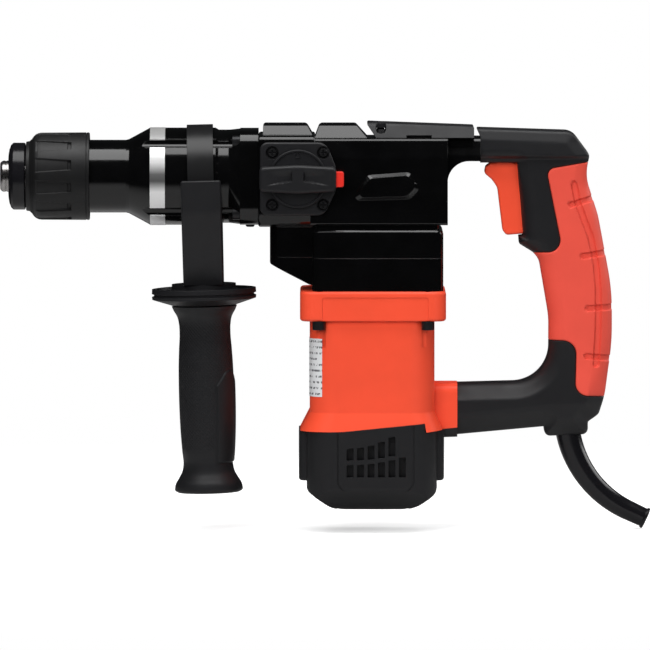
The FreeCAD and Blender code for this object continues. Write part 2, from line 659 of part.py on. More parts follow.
def motor_housing_screws():
    return group(socket_screw((x, y, COLLAR_Z), (0, 0, 1), 4.2, 5.6, 2.5, 12) for x, y in collar_screw_places())


def stator():
    pack = tube((MOTOR_X, 0, -152), (MOTOR_X, 0, -98), 25, 36.2)
    return pack


def stator_coils():
    """Field coils standing out above and below the iron pack."""
    coils = []
    for low, high in ((-97.9, -92), (-159, -152.1)):
        ring = tube((MOTOR_X, 0, low), (MOTOR_X, 0, high), 26.5, 35)
        for side in (-1, 1):
            coils.append(ring.common(block((MOTOR_X - 30, min(side * 6, side * 40), low - 1),
                                           (MOTOR_X + 30, max(side * 6, side * 40), high + 1))))
    return group(coils)


def armature_shaft():
    shaft = rod((MOTOR_X, 0, -196), (MOTOR_X, 0, -59), 5)
    pinion = spur_gear(MOTOR_TEETH, -59, -47, (MOTOR_X, 0), 180, 0)
    return join(shaft, pinion)


def armature_core():
    """Laminated core with open slots and the winding heads at both ends."""
    core = tube((MOTOR_X, 0, -150), (MOTOR_X, 0, -100), 5, 24)
    slots = []
    for index in range(12):
        slot = block((20.5, -1.2, -151), (26, 1.2, -99))
        slot.rotate(V(0, 0, 0), V(0, 0, 1), 30 * index)
        slot.translate(V(MOTOR_X, 0, 0))
        slots.append(slot)
    heads = tube((MOTOR_X, 0, -99.9), (MOTOR_X, 0, -93), 5, 19).fuse(
        tube((MOTOR_X, 0, -159), (MOTOR_X, 0, -150.1), 5, 19))
    return group([core.cut(group(slots))] + heads.Solids)


def commutator():
    ring = tube((MOTOR_X, 0, -181), (MOTOR_X, 0, -162), 5, 13)
    slits = []
    for index in range(24):
        slit = block((12.2, -0.3, -182), (14, 0.3, -165))
        slit.rotate(V(0, 0, 0), V(0, 0, 1), 15 * index)
        slit.translate(V(MOTOR_X, 0, 0))
        slits.append(slit)
    return ring.cut(group(slits))


def cooling_fan():
    hub = tube((MOTOR_X, 0, -90), (MOTOR_X, 0, -78), 5, 9)
    disc = tube((MOTOR_X, 0, -80), (MOTOR_X, 0, -78), 8, 33)
    blades = []
    for index in range(14):
        blade = block((8.5, -0.8, -89), (32, 0.8, -79))
        blade.rotate(V(20, 0, 0), V(0, 0, 1), 18)
        blade.rotate(V(0, 0, 0), V(0, 0, 1), 360 / 14 * index)
        blade.translate(V(MOTOR_X, 0, 0))
        blades.append(blade)
    return join(hub, disc, *blades).common(rod((MOTOR_X, 0, -91), (MOTOR_X, 0, -77), 33.5)).cut(
        rod((MOTOR_X, 0, -95), (MOTOR_X, 0, -70), 5))


def armature_bearings():
    return group([ball_bearing((MOTOR_X, 0, -72), (MOTOR_X, 0, -62), 5 + CLEAR, 13),
                  ball_bearing((MOTOR_X, 0, -196), (MOTOR_X, 0, -188), 5 + CLEAR, 11)])


def brush_plate():
    """Plate across the motor room with the two brush boxes."""
    plate = motor_room(-165, -162.5)
    plate = plate.cut(rod((MOTOR_X, 0, -170), (MOTOR_X, 0, -150), 16))
    boxes = []
    for side in (-1, 1):
        low, high = sorted((side * 17, side * 35))
        case = block((MOTOR_X - 6, low, -178), (MOTOR_X + 6, high, -164))
        low, high = sorted((side * 12, side * 37))
        boxes.append(case.cut(block((MOTOR_X - 4.1, low, -176), (MOTOR_X + 4.1, high, -168))))
    return join(plate, *boxes)


def carbon_brushes():
    brushes = []
    for side in (-1, 1):
        low, high = sorted((side * 12.5, side * 29))
        brush = block((MOTOR_X - 4, low, -175.9), (MOTOR_X + 4, high, -168.1))
        brushes.append(brush.cut(rod((MOTOR_X, 0, -180), (MOTOR_X, 0, -160), 13 + CLEAR)))
    return group(brushes)


def cap_form(inset):
    """Form of the motor cap from its three silhouettes, drawn in by inset."""
    side = slab([(200.5 + inset, -150, 0), (285.6 - inset, -150, 0), (285.6 - inset, -205.5 + inset * 0.4, 7),
                 (270 - inset, CAP_FLOOR_Z + inset, 24), (218 + inset, CAP_FLOOR_Z + inset, 20),
                 (200.5 + inset, -204 + inset * 0.4, 5)], "xz", -60, 60)
    end = slab([(-43 + inset, -150, 0), (43 - inset, -150, 0), (43 - inset, -204 + inset * 0.4, 7),
                (30 - inset, CAP_FLOOR_Z + inset, 20), (-30 + inset, CAP_FLOOR_Z + inset, 20),
                (-43 + inset, -204 + inset * 0.4, 7)], "yz", 190, 300)
    plan = slab(box_outline((200.5 + inset, -43 + inset), (285.6 - inset, 43 - inset), 18 - inset), "xy", -220, -150)
    return side.common(end).common(plan)


def vent_slots(near, far):
    """Two rows of cooling slots between two levels of Y; the rows rise towards the rear."""
    slots = []
    for index in range(6):
        x = 226.6 + index * 6.82
        wide = 4.5
        top = -186.8 + 0.2 * index ** 2
        slots.append(slab([(x, -194.8, 0.6), (x + wide, -194.8, 0.6), (x + wide, top + 0.4, 0.6), (x, top, 0.6)],
                          "xz", near, far))
        if index < 5:
            low = -183.9 + 0.17 * index ** 2
            top = -176.2 + 0.47 * index ** 2
            slots.append(slab([(x, low, 0.6), (x + wide, low + 0.3, 0.6), (x + wide, top + 0.7, 0.6),
                               (x, top, 0.6)], "xz", near, far))
    return group(slots)


def panel_line(near, far):
    """Fine groove that frames the slots, open towards the motor housing."""
    frame = slab([(220.4, -150, 0), (270.8, -150, 0), (270.8, -204.6, 8), (220.4, -204.6, 8)], "xz", near, far)
    field = slab([(221.3, -149, 0), (269.9, -149, 0), (269.9, -203.7, 7.1), (221.3, -203.7, 7.1)], "xz",
                 near - 1, far + 1)
    return frame.cut(field)


def motor_cap():
    """Dark lower cap with cooling slots, end pillars and the lower bearing seat."""
    shape = cap_form(0)
    pillars = []
    for low, high in ((195.4, 210), (276, 290.3)):
        pillar = slab([(low, -26, 5), (high, -26, 5), (high, 26, 5), (low, 26, 5)], "xy", -198, -155)
        pillars.append(soften(pillar, 2.0, lambda e: on_level(e, "z", -198)))
    stub = arm_stub()
    outer = join(shape, *pillars, stub)
    outer = outer.cut(above_split())
    outer = outer.cut(block((180, -60, -160), (276, 60, -140)))
    outer = outer.cut(cap_form(3.0))
    seat = tube((MOTOR_X, 0, -214.5), (MOTOR_X, 0, -187), 11, 14.5)
    floor = rod((MOTOR_X, 0, -215), (MOTOR_X, 0, -198), 14.5).cut(rod((MOTOR_X, 0, -212), (MOTOR_X, 0, -190), 8))
    outer = join(outer, seat.fuse(floor).cut(rod((MOTOR_X, 0, -196.4), (MOTOR_X, 0, -180), 11)))
    for side in (-1, 1):
        near, far = sorted((side * 39.5, side * 50))
        outer = outer.cut(vent_slots(near, far))
        near, far = sorted((side * 36.2, side * 37.8))
        outer = outer.fuse(block((221, near, -216), (271, far, -172)).common(cap_form(1.5)))
        near, far = sorted((side * 42.4, side * 44))
        outer = outer.cut(panel_line(near, far))
    for x, y in cap_screw_places():
        outer = outer.cut(rod((x, y, -225), (x, y, -205), 3.6))
    return outer


def cap_screw_places():
    return [(x, y) for x in (222.0, 266.0) for y in (-24.0, 24.0)]


def rating_label():
    """Plain sticker round the front corner of the motor housing."""
    skin = slab(box_outline((202.25, -40.25), (284.3, 40.25), 17.25), "xy", -142.5, -104.5)
    core = slab(box_outline((202.5, -40), (284, 40), 17), "xy", -143, -104)
    patch = skin.cut(core)
    return patch.common(block((200, -45, -143), (210.6, -14, -104)))


# ---------------------------------------------------------------- rear handle
def handle_outline():
    """The D handle seen from the side, without the loop between it and the body."""
    return [(ARM_END_X, 26.4, 0), (ARM_END_X - 2.6, 31.9, 0.8), (374, 29.9, 10), (385.4, 14.5, 5), (382.6, 1, 30),
            (391, -25, 60), (400.2, -74, 150), (400.2, -108, 150), (395.5, -143, 60), (391.6, -155.5, 6),
            (384.6, -160.5, 2), (384.6, -168.8, 4), (356.5, -170, 4), (355.6, -163.6, 0.5), (LOWER_ARM_X, -168.8, 0),
            (LOWER_ARM_X, -135.2, 0), (358.7, -133.6, 24), (358.9, -92, 60), (352, -51.5, 14), (339.4, -43.8, 2),
            (339, -38.6, 0.5), (341.8, -38.3, 0.5), (338, 9.4, 0.5), (ARM_END_X, 9.4, 0)]


def eased_half(inset):
    """The handle's far half, its outer edge eased in steps, drawn in all round by inset."""
    face = Part.Face(outline(handle_outline(), "xz", 0))
    layers = []
    for depth, drop in ((0.0, 6.0), (1.2, 2.6), (3.4, 0.6), (5.6, 0.0)):
        layer = face.makeOffset2D(-depth - inset) if depth + inset > 0 else face
        layers.append(layer.extrude(V(0, HANDLE_HALF - drop - inset, 0)))
    return join(*layers)


def grip_region():
    """The part of the handle's side that the coloured soft cover takes."""
    return slab([(410, 16.0, 0), (357.2, 5.2, 5), (368.0, -48.8, 8), (330, -50.6, 0), (330, -106, 0), (377.0, -107, 9),
                 (376.2, -142.6, 8), (410, -145, 0)], "xz", -30, 30)


def handle_rooms():
    """Hollows of the handle: arm, grip, lower arm, trigger slot and cord way."""
    arm = slab([(316, 28.6, 0), (370, 27.2, 2), (378, 15, 3), (374, 2, 6), (350, 2, 0), (350, 12, 0), (316, 12, 0)],
               "xz", -13.5, 13.5)
    grip = slab([(348, 6, 0), (374, 6, 3), (386, -25, 40), (395, -76, 80), (395, -106, 80), (386, -152, 8),
                 (366, -152, 4), (364.5, -110, 60), (362, -60, 30), (348, -36, 3)], "xz", -12.5, 12.5)
    low = slab([(300.5, -164, 0), (300.5, -139.5, 0), (368, -138, 0), (368, -159, 0)], "xz", -14.5, 14.5)
    slot = slab([(315.5, 12.1, 0), (335, 17, 0), (352, 12.1, 0), (352, -40.6, 0), (326, -40.6, 0), (310, 0, 0)],
                "xz", -9.4, 9.4)
    return [arm, grip, low, slot]


def cord_axis():
    """Path of the cord guard: a bend and a straight end."""
    start, middle, bend_end = V(371.2, 0, -164), V(384.6, 0, -197.5), V(411.4, 0, -219.3)
    bend = Part.Arc(start, middle, bend_end)
    way = bend.tangent(bend.LastParameter)[0]
    way.normalize()
    return Part.Wire([bend.toShape(), Part.LineSegment(bend_end, bend_end + way * 12.5).toShape()]), way, bend_end


def screw_posts():
    return [(321.0, 20.0), (366.0, 17.5), (365.5, -100.0), (386.0, -126.0), (306.0, -151.0), (377.0, -155.5)]


def side_half(side, inset):
    """One half of the handle's outer form; side is -1 for the near half."""
    half = eased_half(inset)
    return half if side > 0 else half.mirror(V(0, 0, 0), V(0, 1, 0))


def grip_cover(side):
    """Soft cover moulded over one half of the grip."""
    skin = side_half(side, 0).cut(side_half(side, COVER_THICK)).common(grip_region())
    for room in handle_rooms():
        skin = skin.cut(room)
    if side > 0:
        for x, z in screw_posts():
            skin = skin.cut(rod((x, HANDLE_HALF - 5, z), (x, 30, z), 3.8))
    return skin


def handle_shell(side):
    """One hollow half of the handle, with its screw posts and the core under the soft cover."""
    form = side_half(side, 0)
    half = form
    for room in handle_rooms():
        half = half.cut(room)
    for x, z in screw_posts():
        post = rod((x, 0, z), (x, side * (HANDLE_HALF - 3), z), 4.6)
        half = half.fuse(post.common(form))
    for x, z in screw_posts():
        half = half.cut(rod((x, 4.0 - HANDLE_HALF, z), (x, 30, z), 2.0))
        if side > 0:
            half = half.cut(rod((x, HANDLE_HALF - 5, z), (x, 30, z), 3.8))
    half = half.cut(side_half(side, 0).cut(side_half(side, COVER_THICK)).common(grip_region()))
    half = half.cut(rod((371.6, 0, -175), (371.6, 0, -150), 9.0))
    px, pz = TRIGGER_PIVOT
    return half.cut(rod((px, -15, pz), (px, 15, pz), 1.5))


def handle_screws():
    return group(cross_screw((x, HANDLE_HALF - 5.0, z), (0, -1, 0), 3.4, 2.4, 1.8, 24) for x, z in screw_posts())


def trigger():
    """Long trigger that swings on a pin in the handle's arm."""
    px, pz = TRIGGER_PIVOT
    side = slab([(323.5, 15.9, 3), (333.5, 15.9, 3), (336, 9.3, 0.5), (344, 8.4, 1), (345.5, -37.0, 1.5),
                 (331.0, -38.2, 3.0), (328.6, -35.0, 3), (325.2, -7, 10), (321.5, -1.8, 5), (316.6, 2.4, 2.6),
                 (317.4, 6.6, 2), (320.6, 9.2, 1.2), (323.5, 9.3, 0)], "xz", -9, 9)
    side = soften(side, 1.6, lambda e: abs(abs(e.CenterOfMass.y) - 9) < 0.01 and e.CenterOfMass.x < 332
                  and e.CenterOfMass.z < 8.3)
    ear_gaps = [block((320, low, 9.6), (346, high, 18)) for low, high in ((-10, -4), (4, 10))]
    hole = rod((px, -10, pz), (px, 10, pz), 1.5 + CLEAR)
    return side.cut(group(ear_gaps)).cut(hole)


def trigger_pin():
    px, pz = TRIGGER_PIVOT
    return rod((px, -15, pz), (px, 15, pz), 1.5)


def switch_body():
    """Switch case with a well for its plunger and a snap-in collar."""
    case = slab(box_outline((353.5, -35), (372, -4), 1.5), "xz", -10, 10)
    collar = rod((352.4, 0, PLUNGER_Z), (354, 0, PLUNGER_Z), 4.2)
    return join(case, collar).cut(rod((350, 0, PLUNGER_Z), (364, 0, PLUNGER_Z), 2.5 + CLEAR))


def switch_plunger():
    return rod((345.4, 0, PLUNGER_Z), (360, 0, PLUNGER_Z), 2.5)


def cord_guard():
    """Tapered rubber guard with a bead at its mouth and a way through for the cord."""
    path, way, bend_end = cord_axis()
    start = path.Edges[0].firstVertex().Point
    first = path.Edges[0].tangentAt(path.Edges[0].FirstParameter)
    end = bend_end + way * 12.5
    wide = Part.Wire(Part.makeCircle(8.2, start, first))
    slim = Part.Wire(Part.makeCircle(6.2, end, way))
    skin = path.makePipeShell([wide, slim], True, True)
    bead = Part.makeCylinder(7.1, 2.0, end - way * 1.6, way)
    bead = soften(bead, 0.7, lambda e: e.Length > 10)
    body = join(skin, bead)
    bore = Part.Wire(Part.makeCircle(4.3, start, first))
    bore_path = path.makePipeShell([bore], True, True)
    straight = Part.makeCylinder(4.3, 16, bend_end, way)
    return body.cut(bore_path).cut(straight)


# ---------------------------------------------------------------- side handle
def lean(shape):
    """Tilts a side handle piece about the tool axis."""
    shape.rotate(V(0, 0, 0), V(0, 1, 0), -SIDE_TILT)
    shape.translate(V(SIDE_X, 0, 0))
    return shape


def strap_form(thick, half, inner_r):
    """Steel band: over the barrel, down both sides and across under the bolt head."""
    outer = inner_r + thick
    points = [(-outer, 0, 0), (-outer, -15, 14), (-13, -52, 3), (13, -52, 3), (outer, -15, 14), (outer, 0, 0)]
    lower = slab(points, "yz", -half, half)
    inner = [(-inner_r, 0, 0), (-inner_r, -15 + thick * 0.4, 14), (-13 + thick * 0.6, -52 + thick, 3),
             (13 - thick * 0.6, -52 + thick, 3), (inner_r, -15 + thick * 0.4, 14), (inner_r, 0, 0)]
    lower = lower.cut(slab(inner, "yz", -half - 1, half + 1))
    upper = tube((-half, 0, 0), (half, 0, 0), inner_r, outer).common(block((-50, -50, 0), (50, 50, 50)))
    return join(lower, upper)


def clamp_strap():
    band = strap_form(STRAP_THICK, STRAP_HALF, STRAP_R)
    return lean(band.cut(rod((0, 0, -60), (0, 0, -45), 4.3)))


def saddle():
    """Plastic saddle under the barrel, with slots for the strap."""
    body = slab([(-38.6, -1.5, 1), (-38.6, -22, 16), (-26, -58, 14), (-21, -70.4, 0), (21, -70.4, 0), (26, -58, 14),
                 (38.6, -22, 16), (38.6, -1.5, 1)], "yz", -SADDLE_HALF, SADDLE_HALF)
    body = soften(body, 1.5, lambda e: (on_level(e, "x", -SADDLE_HALF) or on_level(e, "x", SADDLE_HALF))
                  and e.CenterOfMass.z < -10 and abs(e.CenterOfMass.y) > 15)
    foot = rod((0, 0, -70.4), (0, 0, -73.2), 21)
    body = join(body, foot)
    body = body.cut(rod((-20, 0, 0), (20, 0, 0), 32.5))
    slot = strap_form(STRAP_THICK + 1.6, STRAP_HALF + 0.5, STRAP_R - 0.6)
    slot = slot.fuse(block((-STRAP_HALF - 0.5, -11, -49), (STRAP_HALF + 0.5, 11, -40)))
    body = body.cut(slot).cut(rod((0, 0, -80), (0, 0, -40), 4.3))
    return lean(body)


def handle_flange():
    """Round hand guard with a double rim and a dished top."""
    profile = [(-73.2, 4.3), (-73.2, 21), (-74.6, 23), (-75.2, 31), (-73.2, 32.4), (-73.4, 34.0), (-76.4, 34.2),
               (-77.0, 32.8), (-77.8, 32.8), (-78.4, 34.2), (-80.2, 34.0), (-81.2, 31), (-84.2, 21.6), (-84.2, 4.3)]
    return lean(turned(profile, (0, 0), "z"))


def clamp_bolt():
    """Bolt that pulls the strap down into the grip's nut."""
    head = slab(box_outline((-7, -7), (7, 7), 1), "xy", -50.3, -45.5)
    thread = turned([(-128, 0), (-128, 3.2), (-127, 3.95), (-50, 3.95), (-50, 0)], (0, 0), "z")
    return lean(join(head, thread))


def thrust_washer():
    return lean(tube((0, 0, -86.0), (0, 0, -84.45), 4.3, 10))


def side_grip():
    """Waisted grip with a swollen end."""
    radii = [(-84.9, 21.4), (-87.5, 20.3), (-91.7, 18.0), (-97, 16.9), (-103, 16.7), (-113, 17.3), (-123, 17.8),
             (-139, 18.1), (-155, 18.0), (-170, 17.5), (-181, 16.8), (-189, 16.3), (-194, 17.4), (-198, 19.6),
             (-201.5, 21.6), (-204, 22.2), (-206.2, 21.8), (-207.2, 20.0)]
    curve = Part.BSplineCurve()
    curve.interpolate([V(radius, 0, z) for z, radius in radii[:-2]])
    edges = [curve.toShape()]
    corner = [V(radii[-3][1], 0, radii[-3][0]), V(radii[-2][1], 0, radii[-2][0]), V(radii[-1][1], 0, radii[-1][0])]
    edges.append(Part.Arc(*corner).toShape())
    low, high = radii[-1][0], radii[0][0]
    path = [V(radii[-1][1], 0, low), V(0, 0, low), V(0, 0, high), V(radii[0][1], 0, high)]
    for start, end in zip(path, path[1:]):
        edges.append(Part.LineSegment(start, end).toShape())
    body = Part.Face(Part.Wire(edges)).revolve(V(0, 0, 0), V(0, 0, 1), 360)
    body = body.cut(rod((0, 0, -86.2), (0, 0, -80), 10.4)).cut(rod((0, 0, -160), (0, 0, -80), 5.0))
    return lean(body.cut(hexagon()))


def hexagon():
    """Form of the nut that is moulded in the grip."""
    angles = [math.radians(60 * corner) for corner in range(6)]
    return slab([(8.1 * math.cos(a), 8.1 * math.sin(a), 0) for a in angles], "xy", -112, -100)


def grip_nut():
    return lean(hexagon().cut(rod((0, 0, -120), (0, 0, -90), 4.0)))


# ---------------------------------------------------------------- all nodes
def nodes():
    return {
        "spindle_tube": spindle_tube(),
        "dust_cap": dust_cap(),
        "locking_balls": locking_balls(),
        "bevel_ring_gear": bevel_ring_gear(),
        "sleeve_spring": coil_spring(34.65, 47.65, 15.6, 0.85, 3.5),
        "locking_sleeve": locking_sleeve(),
        "lock_ring": lock_ring(),
        "impact_bolt": impact_bolt(),
        "striker": striker(),
        "striker_o_ring": o_ring(112.6, 10.4, 11.9),
        "piston": piston(),
        "piston_o_ring": o_ring(149.3, 10.4, 11.9),
        "wrist_pin": wrist_pin(),
        "con_rod": con_rod(),
        "crankshaft": crankshaft(),
        "drive_gear": drive_gear(),
        "bevel_shaft": bevel_shaft(),
        "gearbox_bearings": gearbox_bearings(),
        "barrel_housing": barrel_housing(),
        "barrel_screws": barrel_screws(),
        "front_seal": front_seal(),
        "spindle_bearings": spindle_bearings(),
        "gear_housing": gear_housing(),
        "gearbox_base": gearbox_base(),
        "grease_plug": grease_plug(),
        "mode_plate": mode_plate(),
        "mode_knob": mode_knob(),
        "lock_button": lock_button(),
        "top_cover": top_cover(),
        "cover_screws": cover_screws(),
        "motor_housing": motor_housing(),
        "motor_housing_screws": motor_housing_screws(),
        "stator": stator(),
        "stator_coils": stator_coils(),
        "armature_shaft": armature_shaft(),
        "armature_core": armature_core(),
        "commutator": commutator(),
        "cooling_fan": cooling_fan(),
        "armature_bearings": armature_bearings(),
        "brush_plate": brush_plate(),
        "carbon_brushes": carbon_brushes(),
        "motor_cap": motor_cap(),
        "rating_label": rating_label(),
        "handle_shell_near": handle_shell(-1),
        "handle_shell_far": handle_shell(1),
        "grip_cover_near": grip_cover(-1),
        "grip_cover_far": grip_cover(1),
        "handle_screws": handle_screws(),
        "trigger": trigger(),
        "trigger_pin": trigger_pin(),
        "switch_body": switch_body(),
        "switch_plunger": switch_plunger(),
        "cord_guard": cord_guard(),
        "clamp_strap": clamp_strap(),
        "saddle": saddle(),
        "handle_flange": handle_flange(),
        "clamp_bolt": clamp_bolt(),
        "thrust_washer": thrust_washer(),
        "side_grip": side_grip(),
        "grip_nut": grip_nut(),
    }


def main():
    os.makedirs("parts", exist_ok=True)
    for name, shape in nodes().items():
        print(name, len(shape.Solids), "solids", round(shape.Volume / 1000, 2), "cm3", shape.isValid())
        shape.exportStep(os.path.join("parts", name + ".step"))


main()
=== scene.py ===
import json
import math

import bpy
import numpy as np
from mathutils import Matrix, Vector
from mathutils.geometry import delaunay_2d_cdt

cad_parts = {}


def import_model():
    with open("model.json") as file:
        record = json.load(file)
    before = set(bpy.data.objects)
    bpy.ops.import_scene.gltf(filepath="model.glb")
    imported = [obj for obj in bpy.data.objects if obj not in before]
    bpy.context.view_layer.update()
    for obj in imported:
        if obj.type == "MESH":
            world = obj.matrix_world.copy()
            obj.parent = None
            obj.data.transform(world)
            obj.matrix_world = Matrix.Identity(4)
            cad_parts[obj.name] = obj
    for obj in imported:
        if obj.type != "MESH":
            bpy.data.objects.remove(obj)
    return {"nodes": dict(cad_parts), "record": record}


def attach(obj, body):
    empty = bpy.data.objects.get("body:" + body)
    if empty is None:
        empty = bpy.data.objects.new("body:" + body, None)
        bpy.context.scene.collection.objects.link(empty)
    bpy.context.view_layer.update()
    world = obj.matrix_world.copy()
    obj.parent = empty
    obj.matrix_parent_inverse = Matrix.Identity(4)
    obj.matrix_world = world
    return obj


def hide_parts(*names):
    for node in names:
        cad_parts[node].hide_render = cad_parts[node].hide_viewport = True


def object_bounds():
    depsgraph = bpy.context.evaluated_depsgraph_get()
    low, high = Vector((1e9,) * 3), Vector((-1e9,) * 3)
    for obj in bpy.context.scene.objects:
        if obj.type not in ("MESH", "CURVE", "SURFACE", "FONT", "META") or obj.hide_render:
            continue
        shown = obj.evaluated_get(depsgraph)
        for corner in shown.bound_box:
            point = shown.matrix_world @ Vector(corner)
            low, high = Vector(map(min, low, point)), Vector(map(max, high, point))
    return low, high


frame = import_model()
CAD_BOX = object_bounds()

MM = 0.001
NODES = frame["nodes"]


# ------------------------------------------------------------------ materials
def new_material(name, **sockets):
    """A node material on the Principled shader, its sockets set by name."""
    mat = bpy.data.materials.new(name)
    mat.use_nodes = True
    shader = mat.node_tree.nodes["Principled BSDF"]
    for key, value in sockets.items():
        shader.inputs[key.replace("_", " ")].default_value = value
    return mat


def link(mat, out_node, out_name, in_node, in_name):
    mat.node_tree.links.new(out_node.outputs[out_name], in_node.inputs[in_name])


def compare(mat, source, operation, limit):
    """A Math node that works on a socket and one number."""
    node = mat.node_tree.nodes.new("ShaderNodeMath")
    node.operation = operation
    node.inputs[1].default_value = limit
    mat.node_tree.links.new(source, node.inputs[0])
    return node


def both_of(mat, first, second):
    """A Math node that multiplies the results of two others."""
    node = mat.node_tree.nodes.new("ShaderNodeMath")
    node.operation = "MULTIPLY"
    mat.node_tree.links.new(first.outputs[0], node.inputs[0])
    mat.node_tree.links.new(second.outputs[0], node.inputs[1])
    return node


def noise(mat, scale, detail=3.0, stretch=(1, 1, 1)):
    """Noise over the object's own coordinates."""
    nodes = mat.node_tree.nodes
    coords = nodes.new("ShaderNodeTexCoord")
    mapping = nodes.new("ShaderNodeMapping")
    mapping.inputs["Scale"].default_value = stretch
    texture = nodes.new("ShaderNodeTexNoise")
    texture.inputs["Scale"].default_value = scale
    texture.inputs["Detail"].default_value = detail
    link(mat, coords, "Object", mapping, "Vector")
    link(mat, mapping, "Vector", texture, "Vector")
    return texture


def vary_colour(mat, scale, low, high, detail=3.0, stretch=(1, 1, 1)):
    """Base colour wanders between two near tones."""
    texture = noise(mat, scale, detail, stretch)
    ramp = mat.node_tree.nodes.new("ShaderNodeValToRGB")
    ramp.color_ramp.elements[0].position, ramp.color_ramp.elements[1].position = 0.3, 0.7
    ramp.color_ramp.elements[0].color = (*low, 1)
    ramp.color_ramp.elements[1].color = (*high, 1)
    link(mat, texture, "Fac", ramp, "Fac")
    link(mat, ramp, "Color", mat.node_tree.nodes["Principled BSDF"], "Base Color")


def vary_roughness(mat, scale, low, high, detail=4.0, stretch=(1, 1, 1)):
    """Roughness wanders between two values."""
    texture = noise(mat, scale, detail, stretch)
    spread = mat.node_tree.nodes.new("ShaderNodeMapRange")
    spread.inputs["From Min"].default_value, spread.inputs["From Max"].default_value = 0.3, 0.7
    spread.inputs["To Min"].default_value, spread.inputs["To Max"].default_value = low, high
    link(mat, texture, "Fac", spread, "Value")
    link(mat, spread, "Result", mat.node_tree.nodes["Principled BSDF"], "Roughness")


def bump(mat, scale, height, detail=2.0, stretch=(1, 1, 1), rounding=0.0):
    """Fine relief, and softly rounded edges where rounding is given in metres."""
    nodes = mat.node_tree.nodes
    texture = noise(mat, scale, detail, stretch)
    relief = nodes.new("ShaderNodeBump")
    relief.inputs["Strength"].default_value = 1.0
    relief.inputs["Distance"].default_value = height
    link(mat, texture, "Fac", relief, "Height")
    if rounding:
        edge = nodes.new("ShaderNodeBevel")
        edge.samples = 6
        edge.inputs["Radius"].default_value = rounding
        link(mat, edge, "Normal", relief, "Normal")
    link(mat, relief, "Normal", nodes["Principled BSDF"], "Normal")


BAND_FROM, BAND_TO = 0.0982, 0.1081    # along the barrel, in metres
BAND_RADIUS = 0.0312                   # bare metal starts outside this distance from the barrel's axis
BAND_HALF_HEIGHT = 0.032
# painted reflection: grey stops of the band's base colour by height, its light and dark streaks
BAND_PAINTED_REFLECTION = ((0.36, 0.97), (0.47, 0.16), (0.54, 0.22), (0.66, 1.0), (0.80, 1.0), (0.88, 0.6))


def banded(mat):
    """Bare machined metal round the front of the barrel, let into the black finish.
    Its light and dark streaks are painted reflections, laid on the band by height."""
    nodes = mat.node_tree.nodes
    links = mat.node_tree.links
    black = nodes["Principled BSDF"]
    metal = nodes.new("ShaderNodeBsdfPrincipled")
    metal.inputs["Metallic"].default_value = 0.55
    metal.inputs["Roughness"].default_value = 0.3
    rings = noise(mat, 1.0, 2.0, (2600, 14, 14))
    relief = nodes.new("ShaderNodeBump")
    relief.inputs["Distance"].default_value = 0.00001
    link(mat, rings, "Fac", relief, "Height")
    link(mat, relief, "Normal", metal, "Normal")
    coords = nodes.new("ShaderNodeTexCoord")
    axes = nodes.new("ShaderNodeSeparateXYZ")
    link(mat, coords, "Object", axes, "Vector")
    height = nodes.new("ShaderNodeMapRange")
    height.inputs["From Min"].default_value = -BAND_HALF_HEIGHT
    height.inputs["From Max"].default_value = BAND_HALF_HEIGHT
    # painted reflection: the band's base colour goes light, dark and light again with height
    tone = nodes.new("ShaderNodeValToRGB")
    ramp = tone.color_ramp
    ramp.elements[0].color = (0.95, 0.95, 0.96, 1)
    ramp.elements[1].position, ramp.elements[1].color = 1.0, (0.62, 0.62, 0.61, 1)
    for place, grey in BAND_PAINTED_REFLECTION:
        ramp.elements.new(place).color = (grey, grey, grey, 1)
    link(mat, axes, "Z", height, "Value")
    link(mat, height, "Result", tone, "Fac")
    link(mat, tone, "Color", metal, "Base Color")
    flat = nodes.new("ShaderNodeCombineXYZ")
    link(mat, axes, "Y", flat, "Y")
    link(mat, axes, "Z", flat, "Z")
    radius = nodes.new("ShaderNodeVectorMath")
    radius.operation = "LENGTH"
    links.new(flat.outputs["Vector"], radius.inputs[0])
    behind_front = compare(mat, axes.outputs["X"], "GREATER_THAN", BAND_FROM)
    before_back = compare(mat, axes.outputs["X"], "LESS_THAN", BAND_TO)
    outside = compare(mat, radius.outputs["Value"], "GREATER_THAN", BAND_RADIUS)
    mask = both_of(mat, both_of(mat, behind_front, before_back), outside)
    mix = nodes.new("ShaderNodeMixShader")
    links.new(mask.outputs[0], mix.inputs["Fac"])
    links.new(black.outputs[0], mix.inputs[1])
    links.new(metal.outputs[0], mix.inputs[2])
    links.new(mix.outputs[0], nodes["Material Output"].inputs["Surface"])
    return mat


def gloss_black():
    """Black lacquered casting."""
    mat = new_material("gloss_black", Metallic=0.0, IOR=1.48, Coat_Weight=0.35, Coat_Roughness=0.04)
    vary_colour(mat, 60, (0.0012, 0.0012, 0.0013), (0.0022, 0.0022, 0.0024))
    vary_roughness(mat, 45, 0.11, 0.16)
    bump(mat, 90, 0.00001, rounding=0.0007)
    return mat


def matt_plastic(name, tone, rough=(0.48, 0.58), grain=0.00003, rounding=0.0005, scale=3200):
    """Moulded plastic or rubber with a fine grain."""
    mat = new_material(name, IOR=1.46)
    vary_colour(mat, 40, tuple(c * 0.965 for c in tone), tuple(c * 1.035 for c in tone))
    vary_roughness(mat, 120, *rough)
    bump(mat, scale, grain, rounding=rounding)
    return mat


ROW_SPACING = 0.0019     # half the pitch of the label's rows, in metres
ROW_HALF = 0.00065       # half the height of a row


